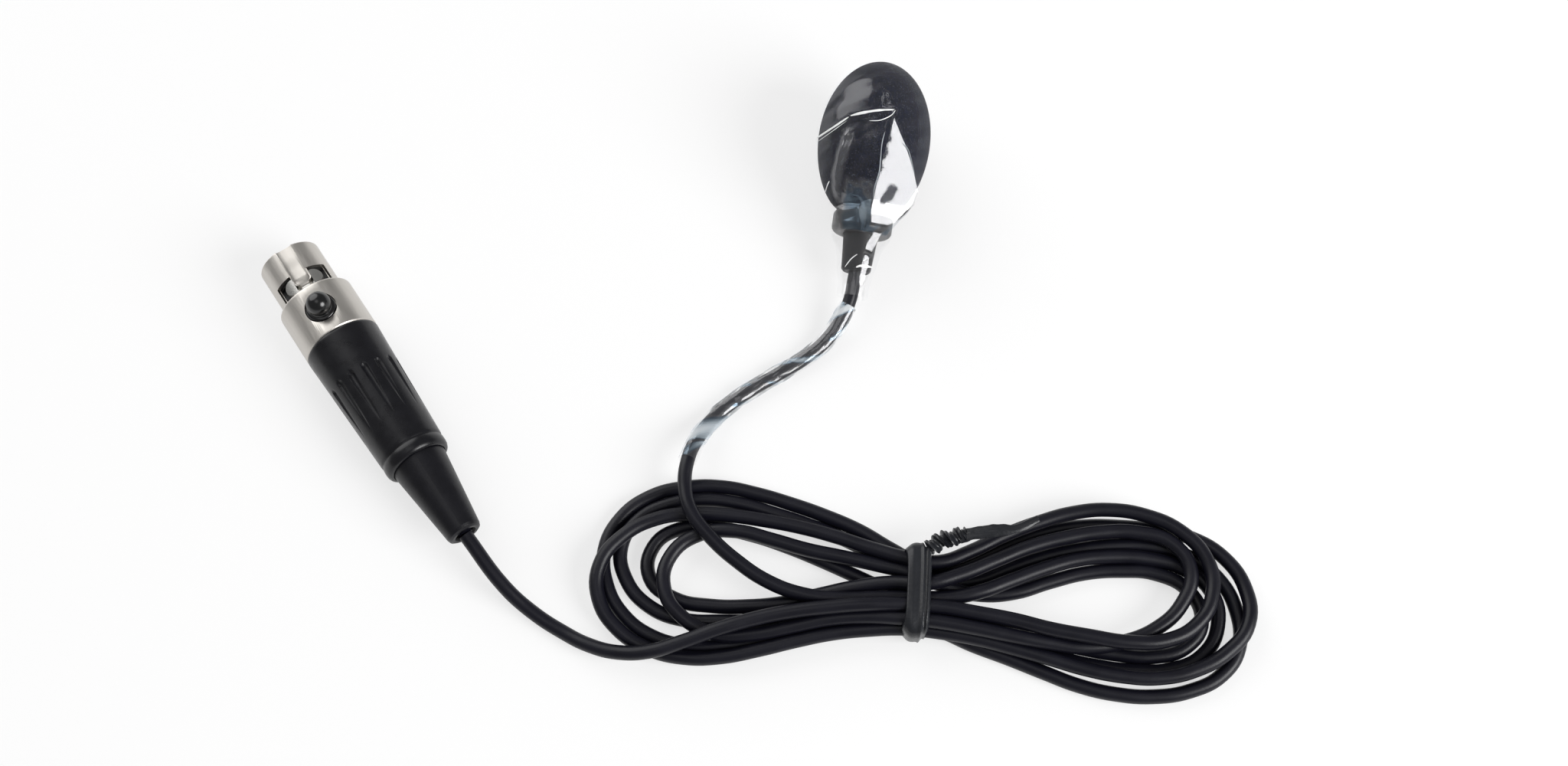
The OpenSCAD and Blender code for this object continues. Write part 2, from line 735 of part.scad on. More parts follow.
module plug_boot() {
    tip_r = boot_tip_d / 2;
    mouth_r2 = cable_r + 0.5;
    color([0.1, 0.1, 0.11]) in_plug() turned([
        [cable_r + fit, boot_seat + 1.2],
        [boot_flange_r, boot_seat + 1.2],
        [boot_flange_r, boot_seat],
        [boot_r, boot_seat],
        [boot_r, -backshell_len],
        [tip_r, boot_end + 0.6],
        [tip_r - 0.15, boot_end + 0.2],
        [tip_r - 0.5, boot_end],
        [mouth_r2 + 0.1, boot_end],
        [mouth_r2 - 0.1, boot_end + 0.4],
        [cable_r + fit, boot_end + 2]]);
}

module sheath_in_plug() {
    color([0.08, 0.08, 0.09]) in_plug() rod(cable_r, boot_end, sheath_front);
}

module plug_conductors() {
    start_r = cable_r / 2;
    end_r = contact_circle_d / 2;
    gap = 0.12;
    lean = atan((end_r - start_r) / (contact_rear - sheath_front));
    run = (contact_rear - sheath_front) / cos(lean) - 2 * gap - wire_r;
    colours = ["red", "white", "gold"];
    for (k = [0, 1, 2])
        color(colours[k]) in_plug()
            rotate([0, 0, contact_angles[k]]) translate([start_r, 0, sheath_front + gap])
                rotate([0, lean, 0]) rod(wire_r, wire_r / 2, run);
}

windscreen();
film_sleeve();
grille_cap();
grille_mesh();
capsule_housing();
electret_capsule();
capsule_ring();
capsule_board();
lead_wires();
base_collar();
cable_ferrule();
mic_strain_relief();
sheath_in_mic();
cable_mic_side();
cable_hank();
cable_plug_side();
twist_tie();
plug_shell();
plug_insert();
plug_contacts();
latch_plate();
latch_button();
backshell();
cable_clamp();
plug_boot();
sheath_in_plug();
plug_conductors();
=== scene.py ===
"""Lavalier microphone with a foam windscreen, a hanked cable and a locking mini plug."""

import json
import math

import bmesh
import bpy
from bpy.props import FloatProperty, FloatVectorProperty, PointerProperty
from mathutils import Matrix, Vector, noise


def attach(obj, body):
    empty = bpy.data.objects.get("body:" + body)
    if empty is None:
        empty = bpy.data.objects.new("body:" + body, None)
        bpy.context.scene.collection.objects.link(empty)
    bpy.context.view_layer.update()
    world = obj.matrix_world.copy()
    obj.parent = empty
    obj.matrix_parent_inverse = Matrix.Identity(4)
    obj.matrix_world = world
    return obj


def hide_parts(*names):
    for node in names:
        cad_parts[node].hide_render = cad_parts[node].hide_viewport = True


bl_info = {
    "name": "Lavalier Microphone",
    "version": (1, 0, 0),
    "blender": (4, 5, 0),
    "location": "View3D > Sidebar > Lavalier",
    "description": "Builds a lavalier microphone, its hanked cable and its mini plug",
    "category": "Add Mesh",
}

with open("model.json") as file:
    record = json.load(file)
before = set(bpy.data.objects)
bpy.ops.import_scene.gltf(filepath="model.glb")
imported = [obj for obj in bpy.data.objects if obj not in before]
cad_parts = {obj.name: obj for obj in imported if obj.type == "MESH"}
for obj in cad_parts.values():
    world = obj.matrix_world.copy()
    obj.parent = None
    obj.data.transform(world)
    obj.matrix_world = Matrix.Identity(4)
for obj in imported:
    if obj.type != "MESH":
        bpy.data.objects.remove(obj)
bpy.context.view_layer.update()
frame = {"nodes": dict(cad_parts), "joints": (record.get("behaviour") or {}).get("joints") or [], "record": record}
MOUNTS = {m["name"]: m for m in frame["record"]["mounts"]}
JOINTS = {j["name"]: j for j in frame["joints"]}
MM = 0.001


# ---- Places ----

SEAT_TO_FACE = 1.7  # from the clip seat's middle to the collar's front face, in mm
RING_TO_NOSE = 11.75  # from the ring's rear face to the nose's mount, in mm
HANK_X, HANK_Y, HANK_TURN = 14.6, -60.6, math.radians(4.7)


def basis(x, y, z, origin):
    """Matrix from a piece's own millimetres to the frame's metres."""
    turn = Matrix((x, y, z)).transposed().to_4x4()
    return Matrix.Translation(origin) @ turn @ Matrix.Scale(MM, 4)


def mic_place():
    """The head's frame: 0 is the collar's front face, +Z is the tip and +Y is down."""
    ahead = Vector(JOINTS["windscreen_pull"]["axis"]).normalized()
    side = Vector((1, 0, 0))
    seat = Vector(MOUNTS["clip_seat"]["pos_m"])
    return basis(side, ahead.cross(side), ahead, seat + ahead * SEAT_TO_FACE * MM)


def plug_place():
    """The plug's frame: 0 is where ring and backshell meet, +Z is the nose and +X is up."""
    ahead = Vector(MOUNTS["plug_nose"]["axis"]).normalized()
    right = -Vector(JOINTS["latch_press"]["axis"]).normalized()
    at = Vector(MOUNTS["plug_nose"]["pos_m"]) - ahead * RING_TO_NOSE * MM
    return basis(right.cross(ahead), right, ahead, at)


MIC = mic_place()
PLUG = plug_place()
# The hank's frame: 0 is the floor under the tie, and +X is the far lobe
HANK = (Matrix.Translation((HANK_X * MM, HANK_Y * MM, 0))
        @ Matrix.Rotation(HANK_TURN, 4, "Z") @ Matrix.Scale(MM, 4))


# ---- Modelling ----

def step_up(value, low, high):
    """0 below low, 1 above high and smooth between."""
    t = max(0.0, min(1.0, (value - low) / (high - low)))
    return t * t * (3 - 2 * t)


def sweep(steps, start=0.0):
    """Evenly spaced angles from start to a quarter turn."""
    return [start + (math.pi / 2 - start) * i / steps for i in range(steps + 1)]


def circle(steps):
    """Evenly spaced angles all the way round."""
    return [math.tau * i / steps for i in range(steps)]


def heading(run, i):
    """Direction of a line of points at one of them."""
    return (run[min(i + 1, len(run) - 1)] - run[max(i - 1, 0)]).normalized()


def smooth_run(points, steps):
    """Evenly many points of a smooth line through the given ones."""
    points = [Vector(p) for p in points]
    points = [2 * points[0] - points[1]] + points + [2 * points[-1] - points[-2]]
    run = []
    for i in range(steps + 1):
        t = (len(points) - 3) * i / steps
        k = min(int(t), len(points) - 4)
        t -= k
        a, b, c, d = points[k:k + 4]
        run.append(0.5 * (2 * b + (c - a) * t + (2 * a - 5 * b + 4 * c - d) * t * t
                          + (3 * b - a - 3 * c + d) * t ** 3))
    return run


def start_piece(name, place):
    """A new mesh piece from one vertex at the origin, left in edit mode with it selected."""
    bpy.ops.object.select_all(action="DESELECT")
    bpy.ops.mesh.primitive_plane_add(size=1)
    piece = bpy.context.object
    piece.name = piece.data.name = name
    piece["place"] = [c for row in place for c in row]
    bpy.ops.object.mode_set(mode="EDIT")
    bpy.ops.mesh.select_all(action="SELECT")
    bpy.ops.mesh.merge(type="CENTER")
    return piece


def weld(threshold=0.001):
    """Merges points of the active piece that meet, and turns its faces outwards."""
    bpy.ops.object.mode_set(mode="EDIT")
    bpy.ops.mesh.select_all(action="SELECT")
    bpy.ops.mesh.remove_doubles(threshold=threshold)
    bpy.ops.mesh.normals_make_consistent(inside=False)
    bpy.ops.object.mode_set(mode="OBJECT")


def turned(name, outline, place, steps):
    """A turned piece: its half section, as (out, along) in mm, is spun once about the axis."""
    piece = start_piece(name, place)
    bpy.ops.transform.translate(value=(outline[0][0], 0, outline[0][1]))
    for (out, along), (out_2, along_2) in zip(outline, outline[1:]):
        step = (out_2 - out, 0, along_2 - along)
        bpy.ops.mesh.extrude_vertices_move(TRANSFORM_OT_translate={"value": step})
    bpy.ops.mesh.select_all(action="SELECT")
    bpy.ops.mesh.spin(steps=steps, angle=math.tau, center=(0, 0, 0), axis=(0, 0, 1))
    weld()
    return piece


def lofted(name, rings, place, close_ends=True):
    """A skin over rings of points, each ring with as many points as the others."""
    piece = start_piece(name, place)
    mesh = bmesh.from_edit_mesh(piece.data)
    mesh.clear()
    rows = [[mesh.verts.new(p) for p in ring] for ring in rings]
    for row, row_2 in zip(rows, rows[1:]):
        for i in range(len(row)):
            j = (i + 1) % len(row)
            mesh.faces.new((row[i], row[j], row_2[j], row_2[i]))
    if close_ends:
        mesh.faces.new(rows[0])
        mesh.faces.new(rows[-1])
    bmesh.update_edit_mesh(piece.data)
    bpy.ops.mesh.select_all(action="SELECT")
    bpy.ops.mesh.normals_make_consistent(inside=False)
    bpy.ops.object.mode_set(mode="OBJECT")
    return piece


def shape(piece, kind, **settings):
    """Adds a modifier with its settings and applies it."""
    modifier = piece.modifiers.new(kind.title(), kind)
    for key, value in settings.items():
        setattr(modifier, key, value)
    bpy.context.view_layer.objects.active = piece
    bpy.ops.object.modifier_apply(modifier=modifier.name)


def pick(piece, *others):
    """Selects pieces, the first of them as the active one."""
    bpy.ops.object.select_all(action="DESELECT")
    for item in (piece, *others):
        item.select_set(True)
    bpy.context.view_layer.objects.active = piece


def join(piece, *others):
    """Joins other pieces with the same place to a piece."""
    for other in others:
        del other["place"]
    pick(piece, *others)
    bpy.ops.object.join()


def finish_piece(piece, body, material, angle, nodes=()):
    """Sets a piece in its place, smooths it, gives it its material, hangs it on its body and hides the parts it
    stands for.
    """
    place = Matrix([piece["place"][i:i + 4] for i in (0, 4, 8, 12)])
    del piece["place"]
    piece.data.transform(place)
    pick(piece)
    bpy.ops.object.shade_smooth_by_angle(angle=math.radians(angle))
    piece.data.materials.clear()
    piece.data.materials.append(material)
    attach(piece, body)
    if nodes:
        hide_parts(*nodes)


def cover(material, *nodes):
    """Gives nodes of the construction model their finish."""
    for node in nodes:
        materials = frame["nodes"][node].data.materials
        materials.clear()
        materials.append(material)


# ---- Materials ----

DRIFT_SIZE, DRIFT_GLOSS = 14, 0.05  # a finish's slow drift: its size in grains, and in roughness


def linear(hex_colour):
    """Linear RGB of an sRGB hex colour."""
    parts = [int(hex_colour[i:i + 2], 16) / 255 for i in (1, 3, 5)]
    return [c / 12.92 if c <= 0.04045 else ((c + 0.055) / 1.055) ** 2.4 for c in parts]


def rgba(colour):
    """RGBA of an sRGB hex colour or of linear RGB."""
    return (*(linear(colour) if isinstance(colour, str) else colour), 1)


def add(tree, kind, **settings):
    """Adds a shader node. A setting names a socket, which it fills or is linked to, or a
    property of the node."""
    new = tree.nodes.new("ShaderNode" + kind)
    sockets = {s.identifier.replace(" ", "_"): s for s in new.inputs}
    for key, value in settings.items():
        if isinstance(value, bpy.types.NodeSocket):
            tree.links.new(value, sockets[key])
        elif key in sockets:
            sockets[key].default_value = value
        else:
            setattr(new, key, value)
    return new


def surface(name, **settings):
    """An empty material, its node tree and its Principled shader."""
    material = bpy.data.materials.new(name)
    material.use_nodes = True
    tree = material.node_tree
    tree.nodes.clear()
    shader = add(tree, "BsdfPrincipled", **settings)
    add(tree, "OutputMaterial", Surface=shader.outputs[0])
    material.diffuse_color = shader.inputs["Base Color"].default_value
    return material, tree, shader


def wire(shader, **sources):
    """Links sources to a shader's sockets."""
    for name, source in sources.items():
        shader.id_data.links.new(source, shader.inputs[name.replace("_", " ")])


def remap(tree, value, low, high, to_low, to_high):
    """Maps a range of values onto another and stops at its ends."""
    return add(tree, "MapRange", Value=value, From_Min=low, From_Max=high, To_Min=to_low,
               To_Max=to_high).outputs[0]


def blend(tree, share, colour, colour_2):
    """Mixes two colours."""
    return add(tree, "Mix", data_type="RGBA", Factor_Float=share, A_Color=colour,
               B_Color=colour_2).outputs[2]


def relief(tree, height, depth_mm, **settings):
    """Bump of the given depth."""
    return add(tree, "Bump", Height=height, Distance=depth_mm * MM, Strength=1.0,
               **settings).outputs[0]


def grain(tree, size_mm, detail):
    """Noise with grains of the given size."""
    return add(tree, "TexNoise", Vector=add(tree, "TexCoord").outputs["Object"],
               Scale=1 / (size_mm * MM), Detail=detail).outputs[0]


def speckled(name, colour, pale, roughness, grain_mm, bump_mm, **settings):
    """A moulded or drawn finish: fine grain in the bump and a slow drift in tone and gloss."""
    material, tree, shader = surface(name, **settings)
    slow = grain(tree, DRIFT_SIZE * grain_mm, 4.0)
    wire(shader, Base_Color=blend(tree, slow, rgba(colour), rgba(pale)),
         Roughness=remap(tree, slow, 0.3, 0.7, roughness - DRIFT_GLOSS, roughness + DRIFT_GLOSS),
         Normal=relief(tree, grain(tree, grain_mm, 3.0), bump_mm))
    return material


# ---- Settings ----

class LavSizes(bpy.types.PropertyGroup):
    cable_thickness: FloatProperty(
        name="Cable thickness", description="Outside diameter of the cable",
        default=2 * MM, min=1.9 * MM, max=2.1 * MM, unit="LENGTH", precision=4)


class LavColours(bpy.types.PropertyGroup):
    jacket: FloatVectorProperty(
        name="Cable jacket", description="Colour of the cable's jacket",
        default=linear("#0b0b13"), size=3, subtype="COLOR", min=0, max=1)
    foam: FloatVectorProperty(
        name="Foam", description="Colour of the foam's struts",
        default=linear("#101428"), size=3, subtype="COLOR", min=0, max=1)


# ---- Stage ----

# Where the camera stands and where it looks, in mm, and its lens
EYE, TARGET, LENS, SENSOR = (5.17, -119.84, 226.79), (-7.97, -32.41, 0), 38.67, 36
# Softboxes: name, width in m, power in W and place in m
LAMPS = (
    ("key_softbox", 0.5, 6.2, (0.63, -0.23, 0.436)),
    ("back_softbox", 0.9, 4.4, (-0.556, 0.389, 0.424)),
    ("top_softbox", 0.5, 0.6, (-0.1, -0.1, 1.0)),
)
AMBIENT = 0.28  # strength of the light from all round
# Share of pure white in the card up to the first distance; it is all white from the second, in m
CARD_WHITE, CARD_NEAR, CARD_FAR = 0.66, 0.2, 0.7


class LAV_OT_stage(bpy.types.Operator):
    """Adds the camera, the lamps and the pale floor"""
    bl_idname = "lav.stage"
    bl_label = "Stage"

    def execute(self, context):
        scene = context.scene
        camera = bpy.data.cameras.new("camera")
        camera.lens = LENS
        camera.sensor_width = SENSOR
        camera.clip_start = 0.01
        camera.clip_end = 20
        eye = bpy.data.objects.new("camera", camera)
        eye.location = Vector(EYE) * MM
        aim(eye, Vector(TARGET) * MM)
        scene.collection.objects.link(eye)
        scene.camera = eye
        scene.view_settings.view_transform = "Standard"
        for name, size, power, spot in LAMPS:
            lamp = bpy.data.lights.new(name, "AREA")
            lamp.shape = "DISK"
            lamp.size = size
            lamp.energy = power
            box = bpy.data.objects.new(name, lamp)
            box.location = spot
            aim(box, Vector())
            scene.collection.objects.link(box)
        scene.world = pale_studio()
        bpy.ops.object.select_all(action="DESELECT")
        bpy.ops.mesh.primitive_plane_add(size=6, location=(0, 0, 0))
        floor = context.object
        floor.name = "floor"
        floor.data.materials.append(white_card())
        return {"FINISHED"}


def aim(thing, target):
    """Turns a camera or a lamp towards a point."""
    thing.rotation_euler = (target - thing.location).to_track_quat("-Z", "Y").to_euler()


def pale_studio():
    """Dim white surroundings, which the camera sees as pure white."""
    world = bpy.data.worlds.new("studio")
    world.use_nodes = True
    tree = world.node_tree
    tree.nodes.clear()
    plain = add(tree, "Background", Color=rgba("#ffffff"), Strength=AMBIENT)
    white = add(tree, "Background", Color=rgba("#ffffff"), Strength=1.0)
    seen = add(tree, "MixShader", Fac=add(tree, "LightPath").outputs["Is Camera Ray"],
               Shader=plain.outputs[0], Shader_001=white.outputs[0])
    add(tree, "OutputWorld", Surface=seen.outputs[0])
    return world


def white_card():
    # Matt card: white to the camera, with the soft shadow of what lies on it
    material, tree, shader = surface("matt_white_card", Base_Color=rgba("#f6f6f6"),
                                     Roughness=0.9)
    path = add(tree, "LightPath")
    bright = add(tree, "Emission", Color=rgba("#ffffff"), Strength=1.0)
    seen = path.outputs["Is Camera Ray"]
    for ray in ("Is Glossy Ray", "Is Transmission Ray"):
        seen = add(tree, "Math", operation="MAXIMUM", Value=seen,
                   Value_001=path.outputs[ray]).outputs[0]
    # The shadow lies near the middle, and the card fades into the backdrop further out
    away = add(tree, "VectorMath", operation="LENGTH",
               Vector=add(tree, "TexCoord").outputs["Object"])
    fade = remap(tree, away.outputs["Value"], CARD_NEAR, CARD_FAR, CARD_WHITE, 1.0)
    share = add(tree, "Math", operation="MULTIPLY", Value=seen, Value_001=fade)
    lit = add(tree, "MixShader", Fac=share.outputs[0], Shader=shader.outputs[0],
              Shader_001=bright.outputs[0])
    tree.links.new(lit.outputs[0], tree.nodes["Material Output"].inputs[0])
    return material


# ---- Cable ----

# Middle of the cable from the head's strain relief to the plug's boot, in mm
ROUTE = (
    (0, -15.4, 4.27), (-0.4, -20.2, 3.04), (-2.3, -24.7, 1.74), (-5.4, -28.5, 1.12),
    (-9.2, -31.8, 1), (-13, -35.1, 1), (-16.3, -38.7, 1.15), (-18.4, -43, 2.55),
    (-19.3, -47.4, 4.1), (-19, -51.4, 4.17), (-17.5, -54.8, 4.39), (-14.5, -57.8, 4.33),
    (-10.2, -60.7, 4.15), (-5.5, -62.9, 4.03), (-0.7, -63.9, 4), (4.4, -63.7, 3.8),
    (9.5, -62.8, 3.72), (14.4, -62, 3.62), (18.9, -61.4, 3.7), (23.1, -59.9, 3.71),
    (27.3, -57.5, 3.14), (31.5, -55.1, 2.67), (35.8, -53.1, 2.26), (40.3, -51.9, 1.94),
    (45.3, -51.3, 1.63), (50.6, -51.9, 1.21), (54.6, -54.5, 1.06), (55.8, -59.2, 1),
    (53.9, -63.6, 1), (49.8, -66.1, 1), (44.7, -67, 1), (39.5, -67.1, 1), (34.4, -66.7, 1),
    (29.6, -66.1, 1), (24.8, -65.1, 1), (20, -63.8, 1.02), (15.2, -62.3, 1.53),
    (10.3, -60.9, 1.31), (5.5, -59.4, 1.13), (0.8, -58, 1.02), (-3.9, -56.8, 1),
    (-8.8, -55.9, 1), (-13.9, -55.6, 1), (-19, -56.5, 1), (-22.2, -59.6, 1), (-21.9, -64, 1),
    (-18, -66.4, 1.07), (-12.8, -66.7, 1.3), (-7.9, -66.1, 1.61), (-3.2, -65, 1.88),
    (1.5, -63.2, 2.14), (6.2, -61.6, 2.88), (10.9, -60.5, 3.74), (15.6, -60.1, 4.61),
    (20.3, -58, 4.31), (24.7, -55.3, 3.9), (29.2, -52.6, 3.56), (33.7, -50.6, 3.3),
    (38.5, -49, 3.12), (43.6, -48.2, 3.02), (48.6, -49.1, 3), (51.3, -52.6, 3.03),
    (50.4, -57.3, 2.91), (47.1, -61.3, 2.85), (42.7, -63.8, 2.84), (37.9, -65.3, 3.26),
    (32.9, -65.5, 3.73), (27.8, -65.4, 4.25), (22.7, -65.2, 4.63), (17.7, -65.1, 4.72),
    (12.7, -65.3, 4.48), (7.9, -65.7, 3.88), (3.1, -66.7, 3.46), (-1.7, -68.4, 3.13),
    (-6.4, -70, 2.88), (-11.4, -70.7, 2.57), (-16.2, -69.3, 2.97), (-19.5, -65.6, 2.92),
    (-19.4, -60.9, 2.73), (-16, -57.3, 2.58), (-11.1, -56.2, 2.93), (-6, -56.7, 3),
    (-0.9, -57.4, 3.02), (4.1, -57.7, 3.01), (9, -58.1, 3.08), (14, -58.7, 3.33),
    (18.8, -59.7, 2.62), (23.4, -59.8, 1.69), (28, -58.7, 1.41), (32.5, -56.5, 1.2),
    (37.2, -54.5, 1.06), (42, -53.4, 1), (46.9, -53.1, 1), (51.5, -54.8, 1), (53.6, -58.7, 1),
    (51.7, -62.7, 1), (47.3, -64.7, 1.01), (42.2, -65.1, 1.1), (37.2, -65, 1.37),
    (32.4, -64.7, 1.93), (27.4, -64.4, 2.52), (22.4, -64.1, 2.94), (17.6, -64, 2.92),
    (13, -63.6, 2.37), (8.4, -63.8, 1.82), (3.4, -65, 1.47), (-1.4, -66.4, 1.17),
    (-6.2, -67.7, 1), (-11.2, -68.6, 1), (-16.3, -69.1, 1), (-21.2, -68, 1), (-25.1, -64.7, 1),
    (-26.6, -60.2, 1), (-24.9, -56, 1), (-20.9, -53.1, 1), (-16.2, -51.8, 1), (-11.2, -51.7, 1),
    (-6.2, -52.4, 1), (-1.3, -53.3, 1), (3.5, -54.5, 1), (8.2, -56.2, 1), (12.9, -58.5, 1.46),
    (17.8, -58.6, 1), (22.7, -57.7, 1), (27.1, -55.3, 1), (31.6, -53, 1), (36.3, -51.2, 1),
    (41.1, -49.9, 1), (46.1, -49.3, 1), (51.1, -49.9, 1), (55.4, -52.4, 1), (58.2, -56.7, 1),
    (58.8, -61.7, 1), (56.7, -65.8, 1), (52.6, -68.6, 1), (47.7, -70.1, 1), (42.7, -70.5, 1),
    (37.8, -70.1, 1), (32.9, -69, 1), (28, -67.8, 1), (23, -66.7, 1), (18.2, -65.4, 1.11),
    (13.4, -65.2, 1.47), (8.6, -65.7, 1.11), (3.8, -66.9, 1), (-0.9, -68.6, 1), (-5.6, -70.4, 1),
    (-10.4, -71.9, 1), (-15.3, -72.6, 1), (-20.2, -72, 1), (-24.5, -69.7, 1), (-27.6, -65.8, 1),
    (-28.8, -61, 1), (-27.4, -56.2, 1), (-23.9, -52.5, 1), (-19.1, -50.4, 1),
    (-14.1, -49.6, 1.01), (-9.2, -49.9, 1.1), (-4.2, -50.7, 1.26), (0.8, -51.8, 1.48),
    (5.8, -53.3, 1.74), (10.6, -55.4, 1.96), (14.7, -56.8, 1.87), (18.7, -56.6, 1.55),
    (22.9, -54.4, 1.3), (27.2, -51.6, 1.12), (31.7, -49.3, 1.02), (36.5, -47.8, 1),
    (41.5, -47.1, 1.03), (46.6, -46.9, 1.14), (51.5, -47.4, 1.38), (56, -49.7, 1.76),
    (59, -53.8, 2.22), (59.5, -58.7, 2.82), (57, -62.9, 2.77), (52.9, -66, 2.67),
    (48.1, -67.8, 2.63), (43.2, -68.3, 2.64), (38.2, -68.1, 2.73), (33.2, -67.4, 2.83),
    (28.1, -66.7, 2.78), (23.2, -66.2, 2.92), (18.3, -66.1, 3), (13.5, -66.3, 2.95),
    (8.7, -67.1, 2.6), (4, -68.3, 2.5), (-0.7, -70, 2.41), (-5.4, -71.9, 2.3),
    (-10.3, -73.6, 2.11), (-15.3, -74.4, 1.89), (-20.3, -73.9, 1.7), (-24.9, -71.9, 2.05),
    (-28.1, -68.3, 2.43), (-28.8, -63.7, 2.93), (-26.4, -59.2, 2.99), (-22.3, -56, 2.66),
    (-17.5, -54.5, 2.39), (-12.6, -54, 2.53), (-7.5, -54, 2.65), (-2.4, -54.3, 2.87),
    (2.6, -55, 3.16), (7.6, -56, 3.53), (12.6, -56.8, 4.06), (17.1, -56.6, 3.69),
    (21.2, -54.4, 3.36), (25.5, -51.4, 3.13), (30, -48.8, 2.98), (34.6, -46.7, 2.92),
    (39.5, -45.5, 2.94), (44.6, -45.6, 3.04), (49.5, -47.2, 3.24), (53.2, -50.6, 3.37),
    (54.3, -55.5, 3.59), (52.4, -60.1, 3.9), (48.4, -63, 4.29), (43.3, -64.1, 4.78),
    (38, -64.1, 4.94), (32.9, -63.9, 4.88), (28, -63.4, 4.89), (23, -63.2, 4.92),
    (18.1, -63.1, 5), (13.1, -63.5, 5.08), (8, -64.3, 5.32), (3, -65.4, 5.11),
    (-1.9, -66.7, 4.83), (-6.7, -68.4, 4.64), (-11.3, -70.5, 4.58), (-15.6, -72.7, 4.04),
    (-19.9, -74.6, 3.58), (-24.1, -75.2, 2.78), (-28.1, -74.7, 2.05), (-32.4, -73.2, 1.28),
    (-36.9, -71.2, 1.65), (-41, -68.7, 3.21), (-47.3, -62.9, 5.5),
)


class LAV_OT_cable(bpy.types.Operator):
    """Adds the cable: a free stretch, the hank and another free stretch"""
    bl_idname = "lav.cable"
    bl_label = "Cable"

    def execute(self, context):
        line = bpy.data.curves.new("cable", "CURVE")
        line.dimensions = "3D"
        line.bevel_depth = context.scene.lav_sizes.cable_thickness / 2
        line.bevel_resolution = 6
        line.resolution_u = 6
        line.use_fill_caps = True
        strand = line.splines.new("BEZIER")
        strand.bezier_points.add(len(ROUTE) - 1)
        for knot, spot in zip(strand.bezier_points, ROUTE):
            knot.co = Vector(spot) * MM
            knot.handle_left_type = knot.handle_right_type = "AUTO"
        cable = bpy.data.objects.new("cable", line)
        context.scene.collection.objects.link(cable)
        cable.data.materials.append(pvc_jacket())
        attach(cable, "root")
        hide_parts("cable_mic_side", "cable_hank", "cable_plug_side")
        return {"FINISHED"}


def pvc_jacket():
    # Soft PVC, extruded: satin black with a long soft highlight and faint scuffs
    jacket = bpy.context.scene.lav_colours.jacket
    return speckled("extruded_soft_pvc", jacket, "#11111c", 0.38, 0.25, 0.01,
                    Specular_IOR_Level=0.3)


# ---- Windscreen ----

# The foam's radius, its length before and behind its widest place, and its mouth, in mm
SCREEN_R, SCREEN_FRONT, SCREEN_BACK = 8.25, 12.0, 10.5
MOUTH_R, MOUTH_GAP = 4.1, 0.3
WIDEST = MOUTH_GAP + SCREEN_BACK
PORE, GRIT = 0.3, 0.2  # grain of the foam, in mm


def egg(grow, steps):
    """Outline of the foam as (out, along), from its mouth to its tip."""
    turns = sweep(steps)
    back = [(MOUTH_R + grow + (SCREEN_R - MOUTH_R) * math.sin(a) ** 1.4,
             WIDEST - SCREEN_BACK * math.cos(a)) for a in turns[:-1]]
    front = [((SCREEN_R + grow) * math.cos(a), WIDEST + (SCREEN_FRONT + grow) * math.sin(a))
             for a in turns]
    return back + front


class LAV_OT_windscreen(bpy.types.Operator):
    """Adds the foam windscreen"""
    bl_idname = "lav.windscreen"
    bl_label = "Windscreen"

    def execute(self, context):
        # A hair slimmer than its outline, clear of the film, and hollow for the housing
        outline = [(3.75, 1.2), (3.72, 0.6), (3.85, MOUTH_GAP)] + egg(-0.05, 30)[1:]
        outline[-1] = (0, outline[-1][1])
        outline += [(0, 12.4), (3.0, 12.4), (3.7, 12.2), (3.7, 8), (3.7, 4), (3.75, 1.2)]
        foam = turned("foam_windscreen", outline, MIC, steps=180)
        finish_piece(foam, "windscreen", open_cell_foam(), 80, ["windscreen"])
        return {"FINISHED"}


def open_cell_foam():
    # Reticulated polyurethane foam: matt blue-black struts, with painted shade in the pores between them
    material, tree, shader = surface("open_cell_polyurethane_foam", Roughness=0.95,
                                     Sheen_Weight=0.08, Sheen_Roughness=0.5)
    cell = add(tree, "TexVoronoi", Vector=add(tree, "TexCoord").outputs["Object"],
               Scale=1 / (PORE * MM), feature="F1").outputs["Distance"]
    # Painted shade: each pore darkens towards its middle, and the struts keep the foam's colour
    tone = blend(tree, remap(tree, cell, 0.35, 0.75, 0.0, 1.0), rgba("#02030b"),
                 rgba(bpy.context.scene.lav_colours.foam))
    # A painted glint: a pale speck in the middle of each pore
    tone = blend(tree, remap(tree, cell, 0.08, 0.22, 1.0, 0.0), tone, rgba("#6d7690"))
    wire(shader, Base_Color=tone, Normal=relief(tree, grain(tree, GRIT, 2.0), 0.05,
                                                Normal=relief(tree, cell, 0.02)))
    return material


# ---- Film ----

# Soft folds of the film, raised in its sheet: points in mm, height, half width
FOLDS = (
    (((-7.9, -3.0, 9.3), (-5.96, -6.02, 10.07), (-3.66, -7.63, 11.71)), 0.45, 0.8),
    (((-3.51, -7.7, 11.83), (0.02, -8.37, 12.88), (2.3, -7.96, 13.45)), 0.45, 0.8),
    (((-3.7, -7.5, 9.2), (-4.3, -6.6, 5.6), (-4.6, -4.9, 2.2), (-4.0, -3.2, -0.5)), 0.5, 1.1),
)
